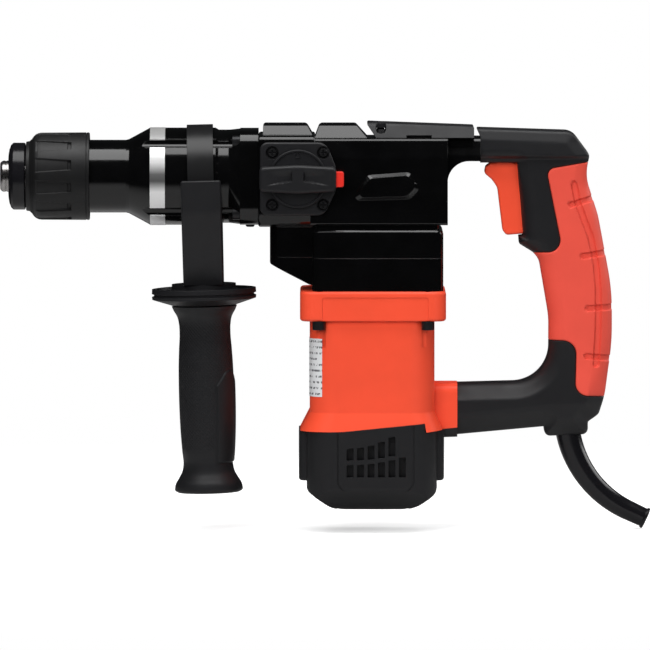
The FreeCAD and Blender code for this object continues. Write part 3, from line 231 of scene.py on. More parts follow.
def printed_film():
    """White film with plain rows of small grey marks."""
    mat = new_material("label_film", Roughness=0.35)
    nodes = mat.node_tree.nodes
    coords = nodes.new("ShaderNodeTexCoord")
    axes = nodes.new("ShaderNodeSeparateXYZ")
    link(mat, coords, "Object", axes, "Vector")
    rows = compare(mat, axes.outputs["Z"], "PINGPONG", ROW_SPACING)
    in_row = compare(mat, rows.outputs[0], "LESS_THAN", ROW_HALF)
    marks = noise(mat, 1.0, 1.0, (900, 900, 260))
    dark = compare(mat, marks.outputs["Fac"], "GREATER_THAN", 0.5)
    tone = nodes.new("ShaderNodeValToRGB")
    tone.color_ramp.elements[0].color = (0.80, 0.81, 0.82, 1)
    tone.color_ramp.elements[1].color = (0.16, 0.16, 0.17, 1)
    link(mat, both_of(mat, in_row, dark), 0, tone, "Fac")
    link(mat, tone, "Color", nodes["Principled BSDF"], "Base Color")
    return mat


def steel(name, tone, rough=(0.22, 0.32), stretch=(1, 1, 1), rounding=0.0002, metallic=1.0):
    """Metal with faint tool marks, drawn out along the stretch."""
    mat = new_material(name, Metallic=metallic)
    dull, bright = tuple(c * 0.9 for c in tone), tuple(min(1, c * 1.08) for c in tone)
    vary_colour(mat, 300, dull, bright, stretch=stretch)
    vary_roughness(mat, 500, *rough, stretch=stretch)
    bump(mat, 900, 0.000002, stretch=stretch, rounding=rounding)
    return mat


MATERIALS = {
    "black_casting": gloss_black(),
    "dark_plastic": matt_plastic("dark_plastic", (0.0112, 0.0112, 0.0124), rough=(0.42, 0.5)),
    "sleeve_plastic": matt_plastic("sleeve_plastic", (0.0075, 0.0075, 0.0078), rough=(0.42, 0.5)),
    "cap_rubber": matt_plastic("cap_rubber", (0.0068, 0.0066, 0.0080), rough=(0.16, 0.22), grain=0.000005),
    "orange_plastic": matt_plastic("orange_plastic", (0.93, 0.085, 0.035), rough=(0.38, 0.46), grain=0.00002),
    "orange_soft": matt_plastic("orange_soft", (0.80, 0.085, 0.055), rough=(0.5, 0.6), grain=0.00003),
    "button_plastic": matt_plastic("button_plastic", (0.75, 0.03, 0.02), rough=(0.25, 0.35), grain=0.00001),
    "polished_steel": steel("polished_steel", (0.50, 0.48, 0.47)),
    "hard_steel": steel("hard_steel", (0.42, 0.42, 0.43)),
    "black_screw": steel("black_screw", (0.03, 0.03, 0.032), rough=(0.3, 0.4), metallic=0.7),
    "strap_steel": matt_plastic("strap_steel", (0.009, 0.009, 0.0095), rough=(0.3, 0.36), grain=0.000008),
    "iron_pack": steel("iron_pack", (0.3, 0.3, 0.31), rough=(0.4, 0.5), stretch=(1, 1, 30)),
    "copper": steel("copper", (0.7, 0.3, 0.16)),
    "carbon": matt_plastic("carbon", (0.03, 0.03, 0.03)),
    "fan_plastic": matt_plastic("fan_plastic", (0.05, 0.05, 0.052)),
    "label_film": printed_film(),
    "seal_rubber": matt_plastic("seal_rubber", (0.02, 0.02, 0.02)),
}

# the barrel's black lacquer, with painted reflection streaks on its bare metal band
BARREL_FINISH_AND_PAINTED_REFLECTION = banded(gloss_black())
BARREL_FINISH_AND_PAINTED_REFLECTION.name = "barrel_finish_and_painted_reflection"

for part in frame["record"]["subparts"]:
    node = NODES[part["node"]]
    node.data.materials.clear()
    finish = BARREL_FINISH_AND_PAINTED_REFLECTION if part["node"] == "barrel_housing" else MATERIALS[part["material_slot"]]
    node.data.materials.append(finish)


# ------------------------------------------------------------------ shapes, drawn in millimetres
def new_piece(name, points, faces, slot, nodes, smooth=math.radians(35), body="hammer_body"):
    """A mesh piece from points in millimetres; it takes the place of the CAD nodes named, if any."""
    mesh = bpy.data.meshes.new(name)
    mesh.from_pydata([tuple(p) for p in np.asarray(points) * MM], [],
                     [tuple(int(i) for i in f) for f in faces])
    mesh.validate()
    mesh.shade_smooth()
    mesh.set_sharp_from_angle(angle=smooth)
    mesh.materials.append(MATERIALS[slot])
    piece = bpy.data.objects.new(name, mesh)
    bpy.context.collection.objects.link(piece)
    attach(piece, body)
    if nodes:
        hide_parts(*nodes)
    return piece


def rounded(corners, step=0.8):
    """A closed outline through (u, v, corner radius) points, each corner an arc, as evenly spaced points."""
    path = []
    count = len(corners)
    for index, (u, v, radius) in enumerate(corners):
        here = np.array((u, v), float)
        back = np.array(corners[index - 1][:2], float) - here
        ahead = np.array(corners[(index + 1) % count][:2], float) - here
        back /= np.linalg.norm(back)
        ahead /= np.linalg.norm(ahead)
        if radius <= 0:
            path.append(here)
            continue
        half = math.acos(np.clip(back @ ahead, -1, 1)) / 2
        middle_way = (back + ahead) / np.linalg.norm(back + ahead)
        centre = here + middle_way * radius / math.sin(half)
        start, end = here + back * radius / math.tan(half), here + ahead * radius / math.tan(half)
        turn = math.pi - 2 * half
        pieces = max(2, int(math.ceil(turn * radius / step)), int(math.ceil(turn / 0.25)))
        first = math.atan2(*(start - centre)[::-1])
        last = math.atan2(*(end - centre)[::-1])
        sweep = (last - first + math.pi) % (2 * math.pi) - math.pi
        for k in range(pieces + 1):
            angle = first + sweep * k / pieces
            path.append(centre + radius * np.array((math.cos(angle), math.sin(angle))))
    return spaced(np.array(path), step, True)


def spaced(path, step, closed=False):
    """Adds points along a path so that none are further apart than step."""
    path = np.asarray(path, float)
    ends = np.roll(path, -1, 0) if closed else path[1:]
    out = []
    for start, end in zip(path, ends):
        gap = np.linalg.norm(end - start)
        if gap < 1e-6:
            continue
        parts = max(1, int(math.ceil(gap / step - 0.01)))
        out += [start + (end - start) * k / parts for k in range(parts)]
    if not closed:
        out.append(path[-1])
    return np.array(out)


def away(points, path, closed=False):
    """Distance of each point from a path."""
    starts = path if closed else path[:-1]
    ends = np.roll(path, -1, 0) if closed else path[1:]
    best = np.full(len(points), 1e9)
    for a, b in zip(starts, ends):
        way = b - a
        t = np.clip(((points - a) @ way) / max(way @ way, 1e-12), 0, 1)
        best = np.minimum(best, np.hypot(*(points - a - t[:, None] * way).T))
    return best


def inside(points, loop):
    """Which points lie within a closed loop."""
    hit = np.zeros(len(points), bool)
    x, y = points.T
    for (ax, ay), (bx, by) in zip(loop, np.roll(loop, -1, 0)):
        crosses = (ay > y) != (by > y)
        with np.errstate(divide="ignore", invalid="ignore"):
            hit ^= crosses & (x < (bx - ax) * (y - ay) / (by - ay) + ax)
    return hit


def smooth_step(value, low, high):
    """0 below low, 1 above high, and an S curve between."""
    t = np.clip((value - low) / (high - low), 0, 1)
    return t * t * (3 - 2 * t)


def normals_of(loop):
    """Unit normals of a closed loop that point into it."""
    way = np.roll(loop, -1, 0) - np.roll(loop, 1, 0)
    normal = np.stack((-way[:, 1], way[:, 0]), 1) / np.maximum(np.linalg.norm(way, axis=1), 1e-9)[:, None]
    area = np.sum(loop[:, 0] * np.roll(loop[:, 1], -1) - np.roll(loop[:, 0], -1) * loop[:, 1])
    return normal * (1 if area > 0 else -1)


RIM_INSETS = (0.35, 0.8, 1.4, 2.2, 3.2, 4.5, 6.0, 8.0)
CELL = 0.42          # no two inner points share a cell of this size


def filled(loop, lines, spacing):
    """Triangles that fill a loop, denser along its rim and along the given lines."""
    normal = normals_of(loop)
    places = []
    for inset in RIM_INSETS:
        shifted = loop + normal * inset
        keep = inside(shifted, loop) & (away(shifted, loop, True) > inset * 0.93)
        places.append(shifted[keep])
    for line, offsets in lines:
        line = spaced(line, 0.7)
        way = np.gradient(line, axis=0)
        across = np.stack((-way[:, 1], way[:, 0]), 1) / np.linalg.norm(way, axis=1)[:, None]
        for offset in offsets:
            shifted = line + across * offset
            places.append(shifted[inside(shifted, loop) & (away(shifted, loop, True) > 0.3)])
    low, high = loop.min(0), loop.max(0)
    gx, gy = np.meshgrid(np.arange(low[0], high[0], spacing), np.arange(low[1], high[1], spacing * 0.866))
    gx[1::2] += spacing / 2
    grid = np.stack((gx.ravel(), gy.ravel()), 1)
    grid = grid[inside(grid, loop)]
    places.append(grid[away(grid, loop, True) > 0.5])
    places = np.concatenate(places)
    seen, kept = set(), []
    for place in places:
        cell = (int(place[0] // CELL), int(place[1] // CELL))
        if cell in seen:
            continue
        seen.add(cell)
        kept.append(place)
    points = np.concatenate((loop, np.array(kept)))
    count = len(loop)
    edges = [(k, (k + 1) % count) for k in range(count)]
    verts, _, faces, origins, _, _ = delaunay_2d_cdt([Vector(p) for p in points], edges, [], 1, 1e-5)
    placed = np.array([tuple(v) for v in verts])
    rim = {source: index for index, sources in enumerate(origins) for source in sources if source < count}
    return placed, faces, [rim[k] for k in range(count)]


def pillow(name, loop, half, slot, nodes, lines=(), spacing=1.3, gap=None, shift=None):
    """A two sided body: a filled outline in X and Z with its half width at each point, closed by a wall.
    gap gives the half width left open in the wall at a rim point; shift moves rim points."""
    flat, faces, rim = filled(loop, lines, spacing)
    width = half(flat)
    far_width = np.minimum(width, screw_wells(flat))
    count = len(flat)
    if shift is not None:
        flat[rim] = shift(flat[rim], normals_of(loop))
    points = [(x, -w, z) for (x, z), w in zip(flat, width)]
    points += [(x, w, z) for (x, z), w in zip(flat, far_width)]
    quads = [tuple(f) for f in faces] + [tuple(count + i for i in reversed(f)) for f in faces]
    open_half = gap(flat[rim]) if gap is not None else np.zeros(len(rim))
    for k, here in enumerate(rim):
        there = rim[(k + 1) % len(rim)]
        if max(open_half[k], open_half[(k + 1) % len(rim)]) <= 0:
            quads.append((here, there, there + count, here + count))
            continue
        base = len(points)
        for index, hole in ((here, open_half[k]), (there, open_half[(k + 1) % len(rim)])):
            x, z = flat[index]
            points += [(x, -min(hole, width[index]), z), (x, min(hole, width[index]), z)]
        quads += [(here, there, base + 2, base), (base + 1, base + 3, there + count, here + count)]
    return new_piece(name, points, quads, slot, nodes, math.radians(40))


# ------------------------------------------------------------------ rear handle
ARM_END, LOW_END = 314.0, 299.0
HANDLE = [(ARM_END, 26.4, 0), (ARM_END - 2.6, 31.9, 0.8), (374, 29.9, 10), (385.4, 14.5, 5), (382.6, 1, 30),
          (391, -25, 60), (400.2, -74, 150), (400.2, -108, 150), (395.5, -143, 60), (391.6, -155.5, 6),
          (384.6, -160.5, 2), (384.6, -168.8, 4), (356.5, -170, 4), (355.6, -163.6, 0.5), (LOW_END, -168.8, 0),
          (LOW_END, -135.2, 0), (358.7, -133.6, 24), (358.9, -92, 60), (352, -51.5, 14), (339.4, -43.8, 2),
          (339, -38.6, 0.5), (341.8, -38.3, 0.5), (338, 9.4, 0.5), (ARM_END, 9.4, 0)]
UPPER_SEAM = rounded([(420, 16.0, 0), (357.2, 5.2, 5), (368.0, -48.8, 8), (290, -51.6, 0), (290, 60, 0),
                      (420, 60, 0)])
LOWER_SEAM = rounded([(290, -105, 0), (377.0, -107, 9), (376.2, -142.6, 8), (420, -145, 0), (420, -190, 0),
                      (290, -190, 0)])
SPINE = np.array([(375.2, -4.6), (377.6, -16.8), (381.8, -28), (386.0, -39), (389.6, -57), (391.0, -72),
                  (391.2, -88), (390.8, -104), (389.6, -122.5)])
RUNGS = [np.array([(373.4, -18.0), (388, -13.8)]), np.array([(381.4, -51.6), (398, -49.2)]),
         np.array([(384.6, -85.8), (402, -85.0)]), np.array([(383.8, -117.2), (400, -118.6)])]
SPINE_WIDTH, RUNG_WIDTH = 3.9, 3.6
GROOVE_DEPTH, NOTCH_DEPTH = 1.8, 1.1
LOW_CREASE = np.array([(296, -154.6), (360, -148.2), (398, -147.0)])
POSTS = [(321.0, 20.0), (366.0, 17.5), (365.5, -100.0), (386.0, -126.0), (306.0, -151.0), (377.0, -155.5)]
WELL_FROM, WELL_TO = 3.75, 4.05      # the wall of a screw well stands between these radii
WELL_HALF = 13.6                     # half width of the handle at a well's floor
NO_LIMIT = 99.0


def cut_loop(loop, fence, keep_inside):
    """The part of a loop inside or outside a fence, closed along the fence."""
    flags = inside(loop, fence) == keep_inside
    start = next(k for k in range(len(loop)) if flags[k] and not flags[k - 1])
    run = []
    for k in range(len(loop)):
        index = (start + k) % len(loop)
        if not flags[index]:
            break
        run.append(loop[index])
    run = np.array(run)
    within = inside(fence, loop)
    first = next(k for k in range(len(fence)) if within[k] and not within[k - 1])
    bridge = []
    for k in range(len(fence)):
        index = (first + k) % len(fence)
        if not within[index]:
            break
        bridge.append(fence[index])
    bridge = np.array(bridge)
    if np.linalg.norm(bridge[0] - run[-1]) > np.linalg.norm(bridge[-1] - run[-1]):
        bridge = bridge[::-1]
    return np.concatenate((run, bridge))


def handle_edge(points):
    """Distance in from the handle's free edges; the ends that meet the body don't count."""
    outline = rounded(HANDLE)
    x, z = outline.T
    ends = (x < ARM_END + 0.05) & (z > 0) & (z < 31.4) | (np.abs(x - LOW_END) < 0.05)
    first = int(np.argmax(ends & ~np.roll(ends, -1)))
    outline = np.roll(outline, -first, 0)
    runs, run = [], []
    for point, end in zip(outline, np.roll(ends, -first)):
        if end:
            run.append(point)
            if len(run) > 2:
                runs.append(np.array(run))
            run = [point]
        else:
            run.append(point)
    if len(run) > 2:
        runs.append(np.array(run + [outline[0]]))
    return np.min([away(points, r) for r in runs], axis=0)


def faceted(depth, rim, full, run):
    """Half width of an eight sided section, its ridge softened."""
    slope = rim + (full - rim) * depth / run
    soft = 0.5
    blend = np.clip(0.5 + (full - slope) / (2 * soft), 0, 1)
    return slope * blend + full * (1 - blend) - soft * blend * (1 - blend)


def handle_half(points):
    """Half width of the handle: faceted arms and a rounded grip."""
    depth = handle_edge(points)
    z = points[:, 1]
    rounding = 1.6 * (1 - np.sqrt(1 - (1 - np.clip(depth / 1.6, 0, 1)) ** 2))
    arm = faceted(depth, 16.2, 19.6, 7.5) - rounding
    arm += 0.12 * np.clip(23 - z, 0, 8.6) - 2.6 * smooth_step(14.4 - z, 0, 2.8)
    low = faceted(depth, 11.0, 19.6, 11.0) - rounding
    grip = 7.6 + 9.8 * np.sqrt(1 - (1 - np.clip(depth / 12.5, 0, 1)) ** 2)
    to_arm = smooth_step(z, -14, 8)
    to_low = smooth_step(-z, 122, 150)
    return grip * (1 - to_arm) * (1 - to_low) + arm * to_arm + low * to_low


def screw_wells(points):
    """Half width that the screw wells leave on the far side."""
    limit = np.full(len(points), NO_LIMIT)
    for post in POSTS:
        from_post = np.hypot(*(points - np.array(post)).T)
        limit = np.minimum(limit, WELL_HALF + 9 * smooth_step(from_post, WELL_FROM, WELL_TO))
    return np.where(limit > 22.0, NO_LIMIT, limit)


def well_lines():
    """Rings of points that follow the walls of the screw wells."""
    angles = np.linspace(0, 2 * math.pi, 40)
    return [(np.array(post) + radius * np.stack((np.cos(angles), np.sin(angles)), 1), (0,))
            for post in POSTS for radius in (3.4, 3.72, 4.1, 4.6)]


def groove(points, path, width, depth):
    """Depth at each point of a groove with soft walls along a path."""
    return depth * (1 - smooth_step(away(points, path), width * 0.5 - 0.35, width * 0.5 + 0.35))


def from_seams(points):
    """Distance of each point from the nearer seam of the cover."""
    return np.minimum(away(points, UPPER_SEAM, True), away(points, LOWER_SEAM, True))


def cover_half(points):
    """The soft cover: crowned, grooved, and rounded over at its seams."""
    half = handle_half(points) + 0.25
    half -= groove(points, SPINE, SPINE_WIDTH, GROOVE_DEPTH)
    for rung in RUNGS:
        half -= groove(points, rung, RUNG_WIDTH, GROOVE_DEPTH)
    seam = from_seams(points)
    return half - 1.0 * (1 - np.sqrt(1 - (1 - np.clip(seam / 1.1, 0, 1)) ** 2))


def shell_half(points):
    """The black shell, dished a little at the seam of the cover and sloped in below the lower crease."""
    edge = 0.9 * (1 - smooth_step(from_seams(points), 0, 0.9))
    below = np.interp(points[:, 0], LOW_CREASE[:, 0], LOW_CREASE[:, 1]) - points[:, 1]
    slope = np.where((below > 0) & (points[:, 1] < -140), below * 0.14, 0)
    return np.maximum(handle_half(points) - edge - slope, 3.0)


def notch(points, inward):
    """Notches of the cross grooves in the back of the cover."""
    depth = np.zeros(len(points))
    for rung in RUNGS:
        depth += groove(points, rung, RUNG_WIDTH, NOTCH_DEPTH)
    return points + inward * depth[:, None]


def trigger_gap(points):
    """Half width of the slot that the trigger comes out of."""
    x, z = points.T
    slot = (x > 315) & (x < 343) & (z < 10.5) & (z > -42)
    return np.where(slot, 9.4, 0.0)


def rear_handle():
    """Soft cover with the black shell above and below it."""
    whole = rounded(HANDLE)
    lines = [(SPINE, (-3.0, -2.5, -2.0, -1.6, -1.1, 0, 1.1, 1.6, 2.0, 2.5, 3.0))]
    lines += [(rung, (-2.8, -2.3, -1.9, -1.5, -1.0, 0, 1.0, 1.5, 1.9, 2.3, 2.8)) for rung in RUNGS]
    lines += well_lines()
    covered = cut_loop(cut_loop(whole, UPPER_SEAM, False), LOWER_SEAM, False)
    upper = cut_loop(whole, UPPER_SEAM, True)
    lower = cut_loop(whole, LOWER_SEAM, True)
    ridge = [(np.array([(316, 25.2), (372, 23.4)]), (-0.8, -0.4, 0, 0.4, 0.8)),
             (np.array([(316, 13.4), (380, 13.4)]), (-1.6, -1.2, -0.8, -0.4, 0, 0.4, 0.8, 1.2))]
    ridge += well_lines()
    pillow("grip_cover", covered, cover_half, "orange_soft", ["grip_cover_near", "grip_cover_far"], lines,
           shift=notch)
    pillow("handle_shell_upper", upper, shell_half, "dark_plastic", ["handle_shell_near"], ridge,
           gap=trigger_gap)
    crease = [(np.array([(300, -154.6), (360, -148.2), (392, -147.0)]), (-0.8, -0.4, 0, 0.4, 0.8))]
    crease += well_lines()
    pillow("handle_shell_lower", lower, shell_half, "dark_plastic", ["handle_shell_far"], crease)


rear_handle()


# ------------------------------------------------------------------ motor vents
SCREEN_SIDES = (36.4, 37.6)     # a screen's two faces, from the middle plane


def vent_screens():
    """Raises the two baffles in the motor cap, so that nothing shows through its tallest vents."""
    loop = rounded([(240, -173, 0), (268, -173, 0), (268, -166.6, 2), (240, -166.6, 2)])
    count = len(loop)
    points, faces = [], []
    for side in (-1, 1):
        base = len(points)
        points += [(x, side * y, z) for y in SCREEN_SIDES for x, z in loop]
        plate = [tuple(range(base, base + count)), tuple(reversed(range(base + count, base + 2 * count)))]
        for k in range(count):
            here, there = base + k, base + (k + 1) % count
            plate.append((here, here + count, there + count, there))
        faces += [face[::side] for face in plate]
    new_piece("vent_screens", points, faces, "dark_plastic", [])


vent_screens()


# ------------------------------------------------------------------ turned pieces
def turned(name, profile, columns, relief, slot, nodes, body, axis="x", origin=(0.0, 0.0, 0.0), tilt=0.0):
    """A body of revolution through (along, radius) points; relief(along, angle) adds to the radius.
    The angle runs from +Z through -Y for the X axis, and from -Y through +X for the Z axis.
    tilt turns the body about Y, in degrees."""
    profile = np.asarray(profile, float)
    angles = np.arange(columns) * 2 * math.pi / columns
    along = np.repeat(profile[:, 0][:, None], columns, 1)
    radius = profile[:, 1][:, None] + relief(along, np.repeat(angles[None], len(profile), 0))
    if axis == "x":
        x, y, z = along, -radius * np.sin(angles), radius * np.cos(angles)
    else:
        x, y, z = radius * np.sin(angles), -radius * np.cos(angles), along
    turn = math.radians(tilt)
    x, z = x * math.cos(turn) - z * math.sin(turn), x * math.sin(turn) + z * math.cos(turn)
    points = np.stack((x, y, z), -1).reshape(-1, 3) + np.array(origin)
    rows = len(profile)
    faces = []
    for row in range(rows - 1):
        for column in range(columns):
            following = (column + 1) % columns
            faces.append((row * columns + column, row * columns + following,
                          (row + 1) * columns + following, (row + 1) * columns + column))
    if axis == "x":
        faces = [f[::-1] for f in faces]
    return new_piece(name, points, faces, slot, nodes, body=body)


def dense(profile, step, low, high):
    """Profile points with extra ones, step apart, between two values along the axis."""
    out = []
    for start, end in zip(profile, profile[1:]):
        start, end = np.array(start, float), np.array(end, float)
        parts = 1
        if low <= min(start[0], end[0]) and max(start[0], end[0]) <= high:
            parts = max(1, int(math.ceil(np.linalg.norm(end - start) / step)))
        out += [start + (end - start) * k / parts for k in range(parts)]
    return out + [np.array(profile[-1], float)]


def chuck_sleeve():
    """Sliding sleeve with twelve tapered finger flutes that end square at the rear."""
    outer = [(17, 10.5), (17, 22.4), (17.6, 22.7), (19.2, 22.9), (19.7, 23.4), (20.8, 24.4), (21.1, 25.0),
             (22.2, 26.4), (23.5, 27.5), (25.2, 28.2), (27, 28.5), (46.6, 28.6), (46.9, 28.6), (56.2, 28.65),
             (56.35, 28.3), (56.75, 28.3), (56.9, 28.65), (58.1, 28.6), (58.5, 28.2)]
    inner = [(58.5, 26.2), (38.5, 26.2), (37.5, 18.0), (25, 18.0), (24, 10.5), (17, 10.5)]

    def flutes(along, angle):
        away_from = np.abs((np.degrees(angle) - 72.8 + 15) % 30 - 15)
        half = np.interp(along, (24.0, 46.5), (9.4, 6.1))
        floor = np.interp(along, (23.2, 24.6, 44.4, 44.8, 46.6, 46.9), (0, 0.75, 1.05, 1.6, 1.6, 0))
        wall = 1 - smooth_step(away_from, half - 0.45, half + 0.45)
        return -floor * wall * ((along > 23) & (along < 46.95))

    def outside_only(along, angle):
        shape = flutes(along, angle)
        shape[len(rows):] = 0
        return shape

    rows = dense(outer, 0.45, 23.4, 47.0)
    turned("chuck_sleeve", rows + [np.array(p, float) for p in inner], 720, outside_only, "sleeve_plastic",
           ["locking_sleeve"], "lock_sleeve")


SIDE_X, SIDE_TILT = 131.4, 1.4
DIAMOND = 2.4        # pitch of the grip's pattern
GRIP_RADII = [(-84.9, 21.4), (-87.5, 20.3), (-91.7, 18.0), (-97, 16.9), (-103, 16.7), (-113, 17.3), (-123, 17.8),
              (-139, 18.1), (-155, 18.0), (-170, 17.5), (-181, 16.8), (-189, 16.3), (-194, 17.4), (-198, 19.6),
              (-201.5, 21.6), (-204, 22.2), (-206.2, 21.8), (-207.2, 20.0)]


def side_grip():
    """Side grip with a fine diamond pattern and a raised plain panel."""
    zs = np.array([z for z, _ in GRIP_RADII][::-1])
    rs = np.array([r for _, r in GRIP_RADII][::-1])
    rows = np.arange(zs[0], zs[-1] + 1e-6, 0.42)
    rows = np.append(rows, zs[-1])[::-1]
    smooth = smooth_curve(zs, rs, rows)
    end = rows[-1]
    profile = [(rows[0], 10.4)] + list(zip(rows, smooth))
    profile += [(end, 15.0), (end + 0.6, 14.4), (end + 0.6, 0.01)]

    def relief(along, angle):
        around = np.degrees(angle)
        arc = np.radians(around) * 18.0
        diamonds = np.maximum(np.abs(((arc + along) / DIAMOND) % 1 - 0.5),
                              np.abs(((arc - along) / DIAMOND) % 1 - 0.5))
        zone = smooth_step(along, -182, -176) * (1 - smooth_step(along, -98, -93))
        side = np.abs((around - 58 + 180) % 360 - 180)
        top = np.interp(side, (0, 14, 36), (-126.5, -128, -137))
        inner = np.minimum(np.minimum(36 - side, (top - along) * 1.8), (along + 187.5) * 3.0)
        panel = smooth_step(inner, 0, 2.2)
        moat = smooth_step(inner, -3.2, -1.4) * (1 - smooth_step(inner, -0.6, 0.4))
        pattern = -0.34 * smooth_step(diamonds, 0.33, 0.46) * zone * (1 - smooth_step(inner, -4, -2))
        on_grip = (along < -86) & (along > -206.5)
        return np.where(on_grip, pattern + 0.95 * panel - 0.25 * moat, 0)

    turned("side_grip_body", profile, 300, relief, "dark_plastic", ["side_grip"], "side_grip", "z",
           (SIDE_X, 0, 0), SIDE_TILT)


def smooth_curve(xs, ys, at):
    """Smooth curve through points, by cubic pieces with mean slopes."""
    slopes = np.gradient(ys, xs)
    index = np.clip(np.searchsorted(xs, at) - 1, 0, len(xs) - 2)
    span = xs[index + 1] - xs[index]
    t = (at - xs[index]) / span
    return ((2 * t ** 3 - 3 * t ** 2 + 1) * ys[index] + (t ** 3 - 2 * t ** 2 + t) * span * slopes[index]
            + (3 * t ** 2 - 2 * t ** 3) * ys[index + 1] + (t ** 3 - t ** 2) * span * slopes[index + 1])


# ------------------------------------------------------------------ mode knob
KNOB_X = 194.8
KNOB_OUTLINE = rounded([(-25, -8, 3), (0, -9.4, 60), (25, -8, 3), (25, 8, 3), (0, 9.4, 60), (-25, 8, 3)], 0.5)


def knob_face(points):
    """Depth in Y of the knob bar's face: eased rim and two thumb scoops."""
    rim = away(points, KNOB_OUTLINE, True)
    y = -53 + 2.4 * (1 - np.sqrt(1 - (1 - np.clip(rim / 2.4, 0, 1)) ** 2))
    x, z = np.abs(points[:, 0]), points[:, 1]
    lower = np.interp(x, (3.6, 20), (-1.2, -4.2))
    depth = np.interp(x, (3.8, 4.3, 21), (0, 2.6, 0))
    scoop = smooth_step(z - lower, 0.0, 0.6) * (1 - smooth_step(z, 1.5, 7.0)) * depth
    return y + scoop


def mode_knob():
    """The knob's bar, its round skirt and a small raised pointer."""
    flat, faces, rim = filled(KNOB_OUTLINE, [], 0.6)
    depth = knob_face(flat)
    count = len(flat)
    points = [(KNOB_X + x, y, z) for (x, z), y in zip(flat, depth)]
    points += [(KNOB_X + flat[k][0], -42.5, flat[k][1]) for k in rim]
    loops = len(rim)
    faces = [tuple(f) for f in faces]
    faces += [(rim[k], rim[(k + 1) % loops], count + (k + 1) % loops, count + k) for k in range(loops)]
    rings = [(8.0, -30.0), (8.0, -41.0), (19.0, -41.0), (19.0, -43.3), (18.7, -43.6), (17.6, -43.6),
             (17.3, -42.7), (0.01, -42.7)]
    base = len(points)
    columns = 96
    for radius, y in rings:
        points += [(KNOB_X + radius * math.cos(a), y, radius * math.sin(a))
                   for a in np.arange(columns) * 2 * math.pi / columns]
    for row in range(len(rings) - 1):
        for c in range(columns):
            d = (c + 1) % columns
            faces.append((base + row * columns + c, base + row * columns + d,
                          base + (row + 1) * columns + d, base + (row + 1) * columns + c))
    base = len(points)
    points += [(KNOB_X - 1.6, -43.5, 14.0), (KNOB_X + 1.6, -43.5, 14.0), (KNOB_X, -43.5, 16.8),
               (KNOB_X - 1.9, -42.6, 13.7), (KNOB_X + 1.9, -42.6, 13.7), (KNOB_X, -42.6, 17.2)]
    faces += [(base, base + 1, base + 2)] + [(base + a, base + b, base + b + 3, base + a + 3)
                                              for a, b in ((0, 1), (1, 2), (2, 0))]
    new_piece("selector_knob", points, faces, "dark_plastic", ["mode_knob"], body="mode_knob")


chuck_sleeve()
side_grip()
mode_knob()


# ------------------------------------------------------------------ stage, lights and camera
FLOOR_Z = CAD_BOX[0].z - 0.0005
CENTRE = Vector((0.2125, 0.0, -0.0976))
CAMERA_AWAY = 7.0
CAMERA_RISE = math.radians(3.3)
FRAME_WIDTH = 0.4258
SENSOR = 36


def floor():
    """A wide pale disc that fades out at its rim. The eye sees it brighter than the light it gives back."""
    bpy.ops.mesh.primitive_circle_add(vertices=96, radius=4.0, fill_type="NGON",
                                      location=(CENTRE.x, 0, FLOOR_Z))
    disc = bpy.context.object
    disc.name = "floor"
    mat = new_material("floor_paper", Roughness=0.9, Base_Color=(0.36, 0.36, 0.36, 1))
    nodes = mat.node_tree.nodes
    seen = nodes.new("ShaderNodeBsdfPrincipled")
    seen.inputs["Base Color"].default_value = (0.9, 0.9, 0.9, 1)
    seen.inputs["Roughness"].default_value = 0.9
    seen.inputs["Emission Color"].default_value = (1, 1, 1, 1)
    seen.inputs["Emission Strength"].default_value = 0.42
    path = nodes.new("ShaderNodeLightPath")
    mix = nodes.new("ShaderNodeMixShader")
    coords = nodes.new("ShaderNodeTexCoord")
    length = nodes.new("ShaderNodeVectorMath")
    length.operation = "LENGTH"
    fade = nodes.new("ShaderNodeMapRange")
    fade.interpolation_type = "SMOOTHSTEP"
    fade.inputs["From Min"].default_value, fade.inputs["From Max"].default_value = 0.35, 0.85
    fade.inputs["To Min"].default_value, fade.inputs["To Max"].default_value = 1.0, 0.0
    link(mat, coords, "Object", length, 0)
    link(mat, length, "Value", fade, "Value")
    for shader in (seen, nodes["Principled BSDF"]):
        link(mat, fade, "Result", shader, "Alpha")
    link(mat, path, "Is Camera Ray", mix, "Fac")
    link(mat, nodes["Principled BSDF"], "BSDF", mix, 1)
    link(mat, seen, "BSDF", mix, 2)
    link(mat, mix, "Shader", nodes["Material Output"], "Surface")
    disc.data.materials.append(mat)


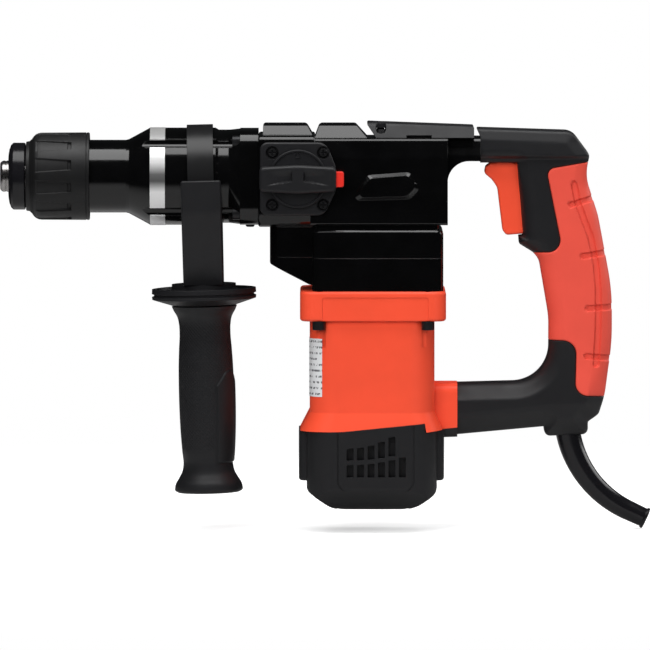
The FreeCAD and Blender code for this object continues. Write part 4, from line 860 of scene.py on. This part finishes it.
def world():
    """Pale surroundings for the eye and a dim room for the light."""
    room = bpy.data.worlds.new("room")
    bpy.context.scene.world = room
    room.use_nodes = True
    nodes, links = room.node_tree.nodes, room.node_tree.links
    nodes.clear()
    path = nodes.new("ShaderNodeLightPath")
    seen = nodes.new("ShaderNodeBackground")
    seen.inputs["Color"].default_value = (1, 1, 1, 1)
    seen.inputs["Strength"].default_value = 1.0
    dim = nodes.new("ShaderNodeBackground")
    dim.inputs["Color"].default_value = (0.9, 0.95, 1, 1)
    dim.inputs["Strength"].default_value = 0.012
    mix = nodes.new("ShaderNodeMixShader")
    out = nodes.new("ShaderNodeOutputWorld")
    links.new(path.outputs["Is Camera Ray"], mix.inputs["Fac"])
    links.new(dim.outputs[0], mix.inputs[1])
    links.new(seen.outputs[0], mix.inputs[2])
    links.new(mix.outputs[0], out.inputs["Surface"])


def softbox(name, place, aim, size, power, in_gloss=True):
    """A rectangular lamp that the camera doesn't see; in_gloss says whether reflections show it."""
    light = bpy.data.lights.new(name, "AREA")
    light.shape = "RECTANGLE"
    light.size, light.size_y = size
    light.energy = power
    lamp = bpy.data.objects.new(name, light)
    lamp.location = place
    lamp.rotation_euler = (Vector(aim) - Vector(place)).to_track_quat("-Z", "Y").to_euler()
    lamp.visible_glossy = in_gloss
    lamp.visible_camera = False
    bpy.context.collection.objects.link(lamp)


def camera():
    """A long lens at the photograph's angle."""
    data = bpy.data.cameras.new("camera")
    data.sensor_width = SENSOR
    data.lens = SENSOR * CAMERA_AWAY / FRAME_WIDTH
    data.clip_start, data.clip_end = 0.1, 20
    eye = bpy.data.objects.new("camera", data)
    back = Vector((0, -math.cos(CAMERA_RISE), math.sin(CAMERA_RISE)))
    eye.location = CENTRE + back * CAMERA_AWAY
    eye.rotation_euler = (-back).to_track_quat("-Z", "Y").to_euler()
    bpy.context.collection.objects.link(eye)
    bpy.context.scene.camera = eye


floor()
world()
softbox("top", (0.20, -0.30, 1.0), (0.20, -0.30, 0), (1.6, 0.80), 14)
softbox("front_left", (-0.5, -1.7, 0.7), (0.15, 0, -0.08), (1.2, 1.2), 25.5, in_gloss=False)
softbox("front_right", (1.3, -1.5, 0.5), (0.25, 0, -0.08), (1.2, 1.2), 9, in_gloss=False)
softbox("back", (0.3, 1.6, 1.0), (0.2, 0, -0.08), (2.0, 1.0), 26, in_gloss=False)
softbox("behind", (1.6, 0.5, 0.5), (0.2, 0, -0.08), (1.0, 0.8), 8)
camera()
bpy.context.scene.view_settings.view_transform = "Standard"
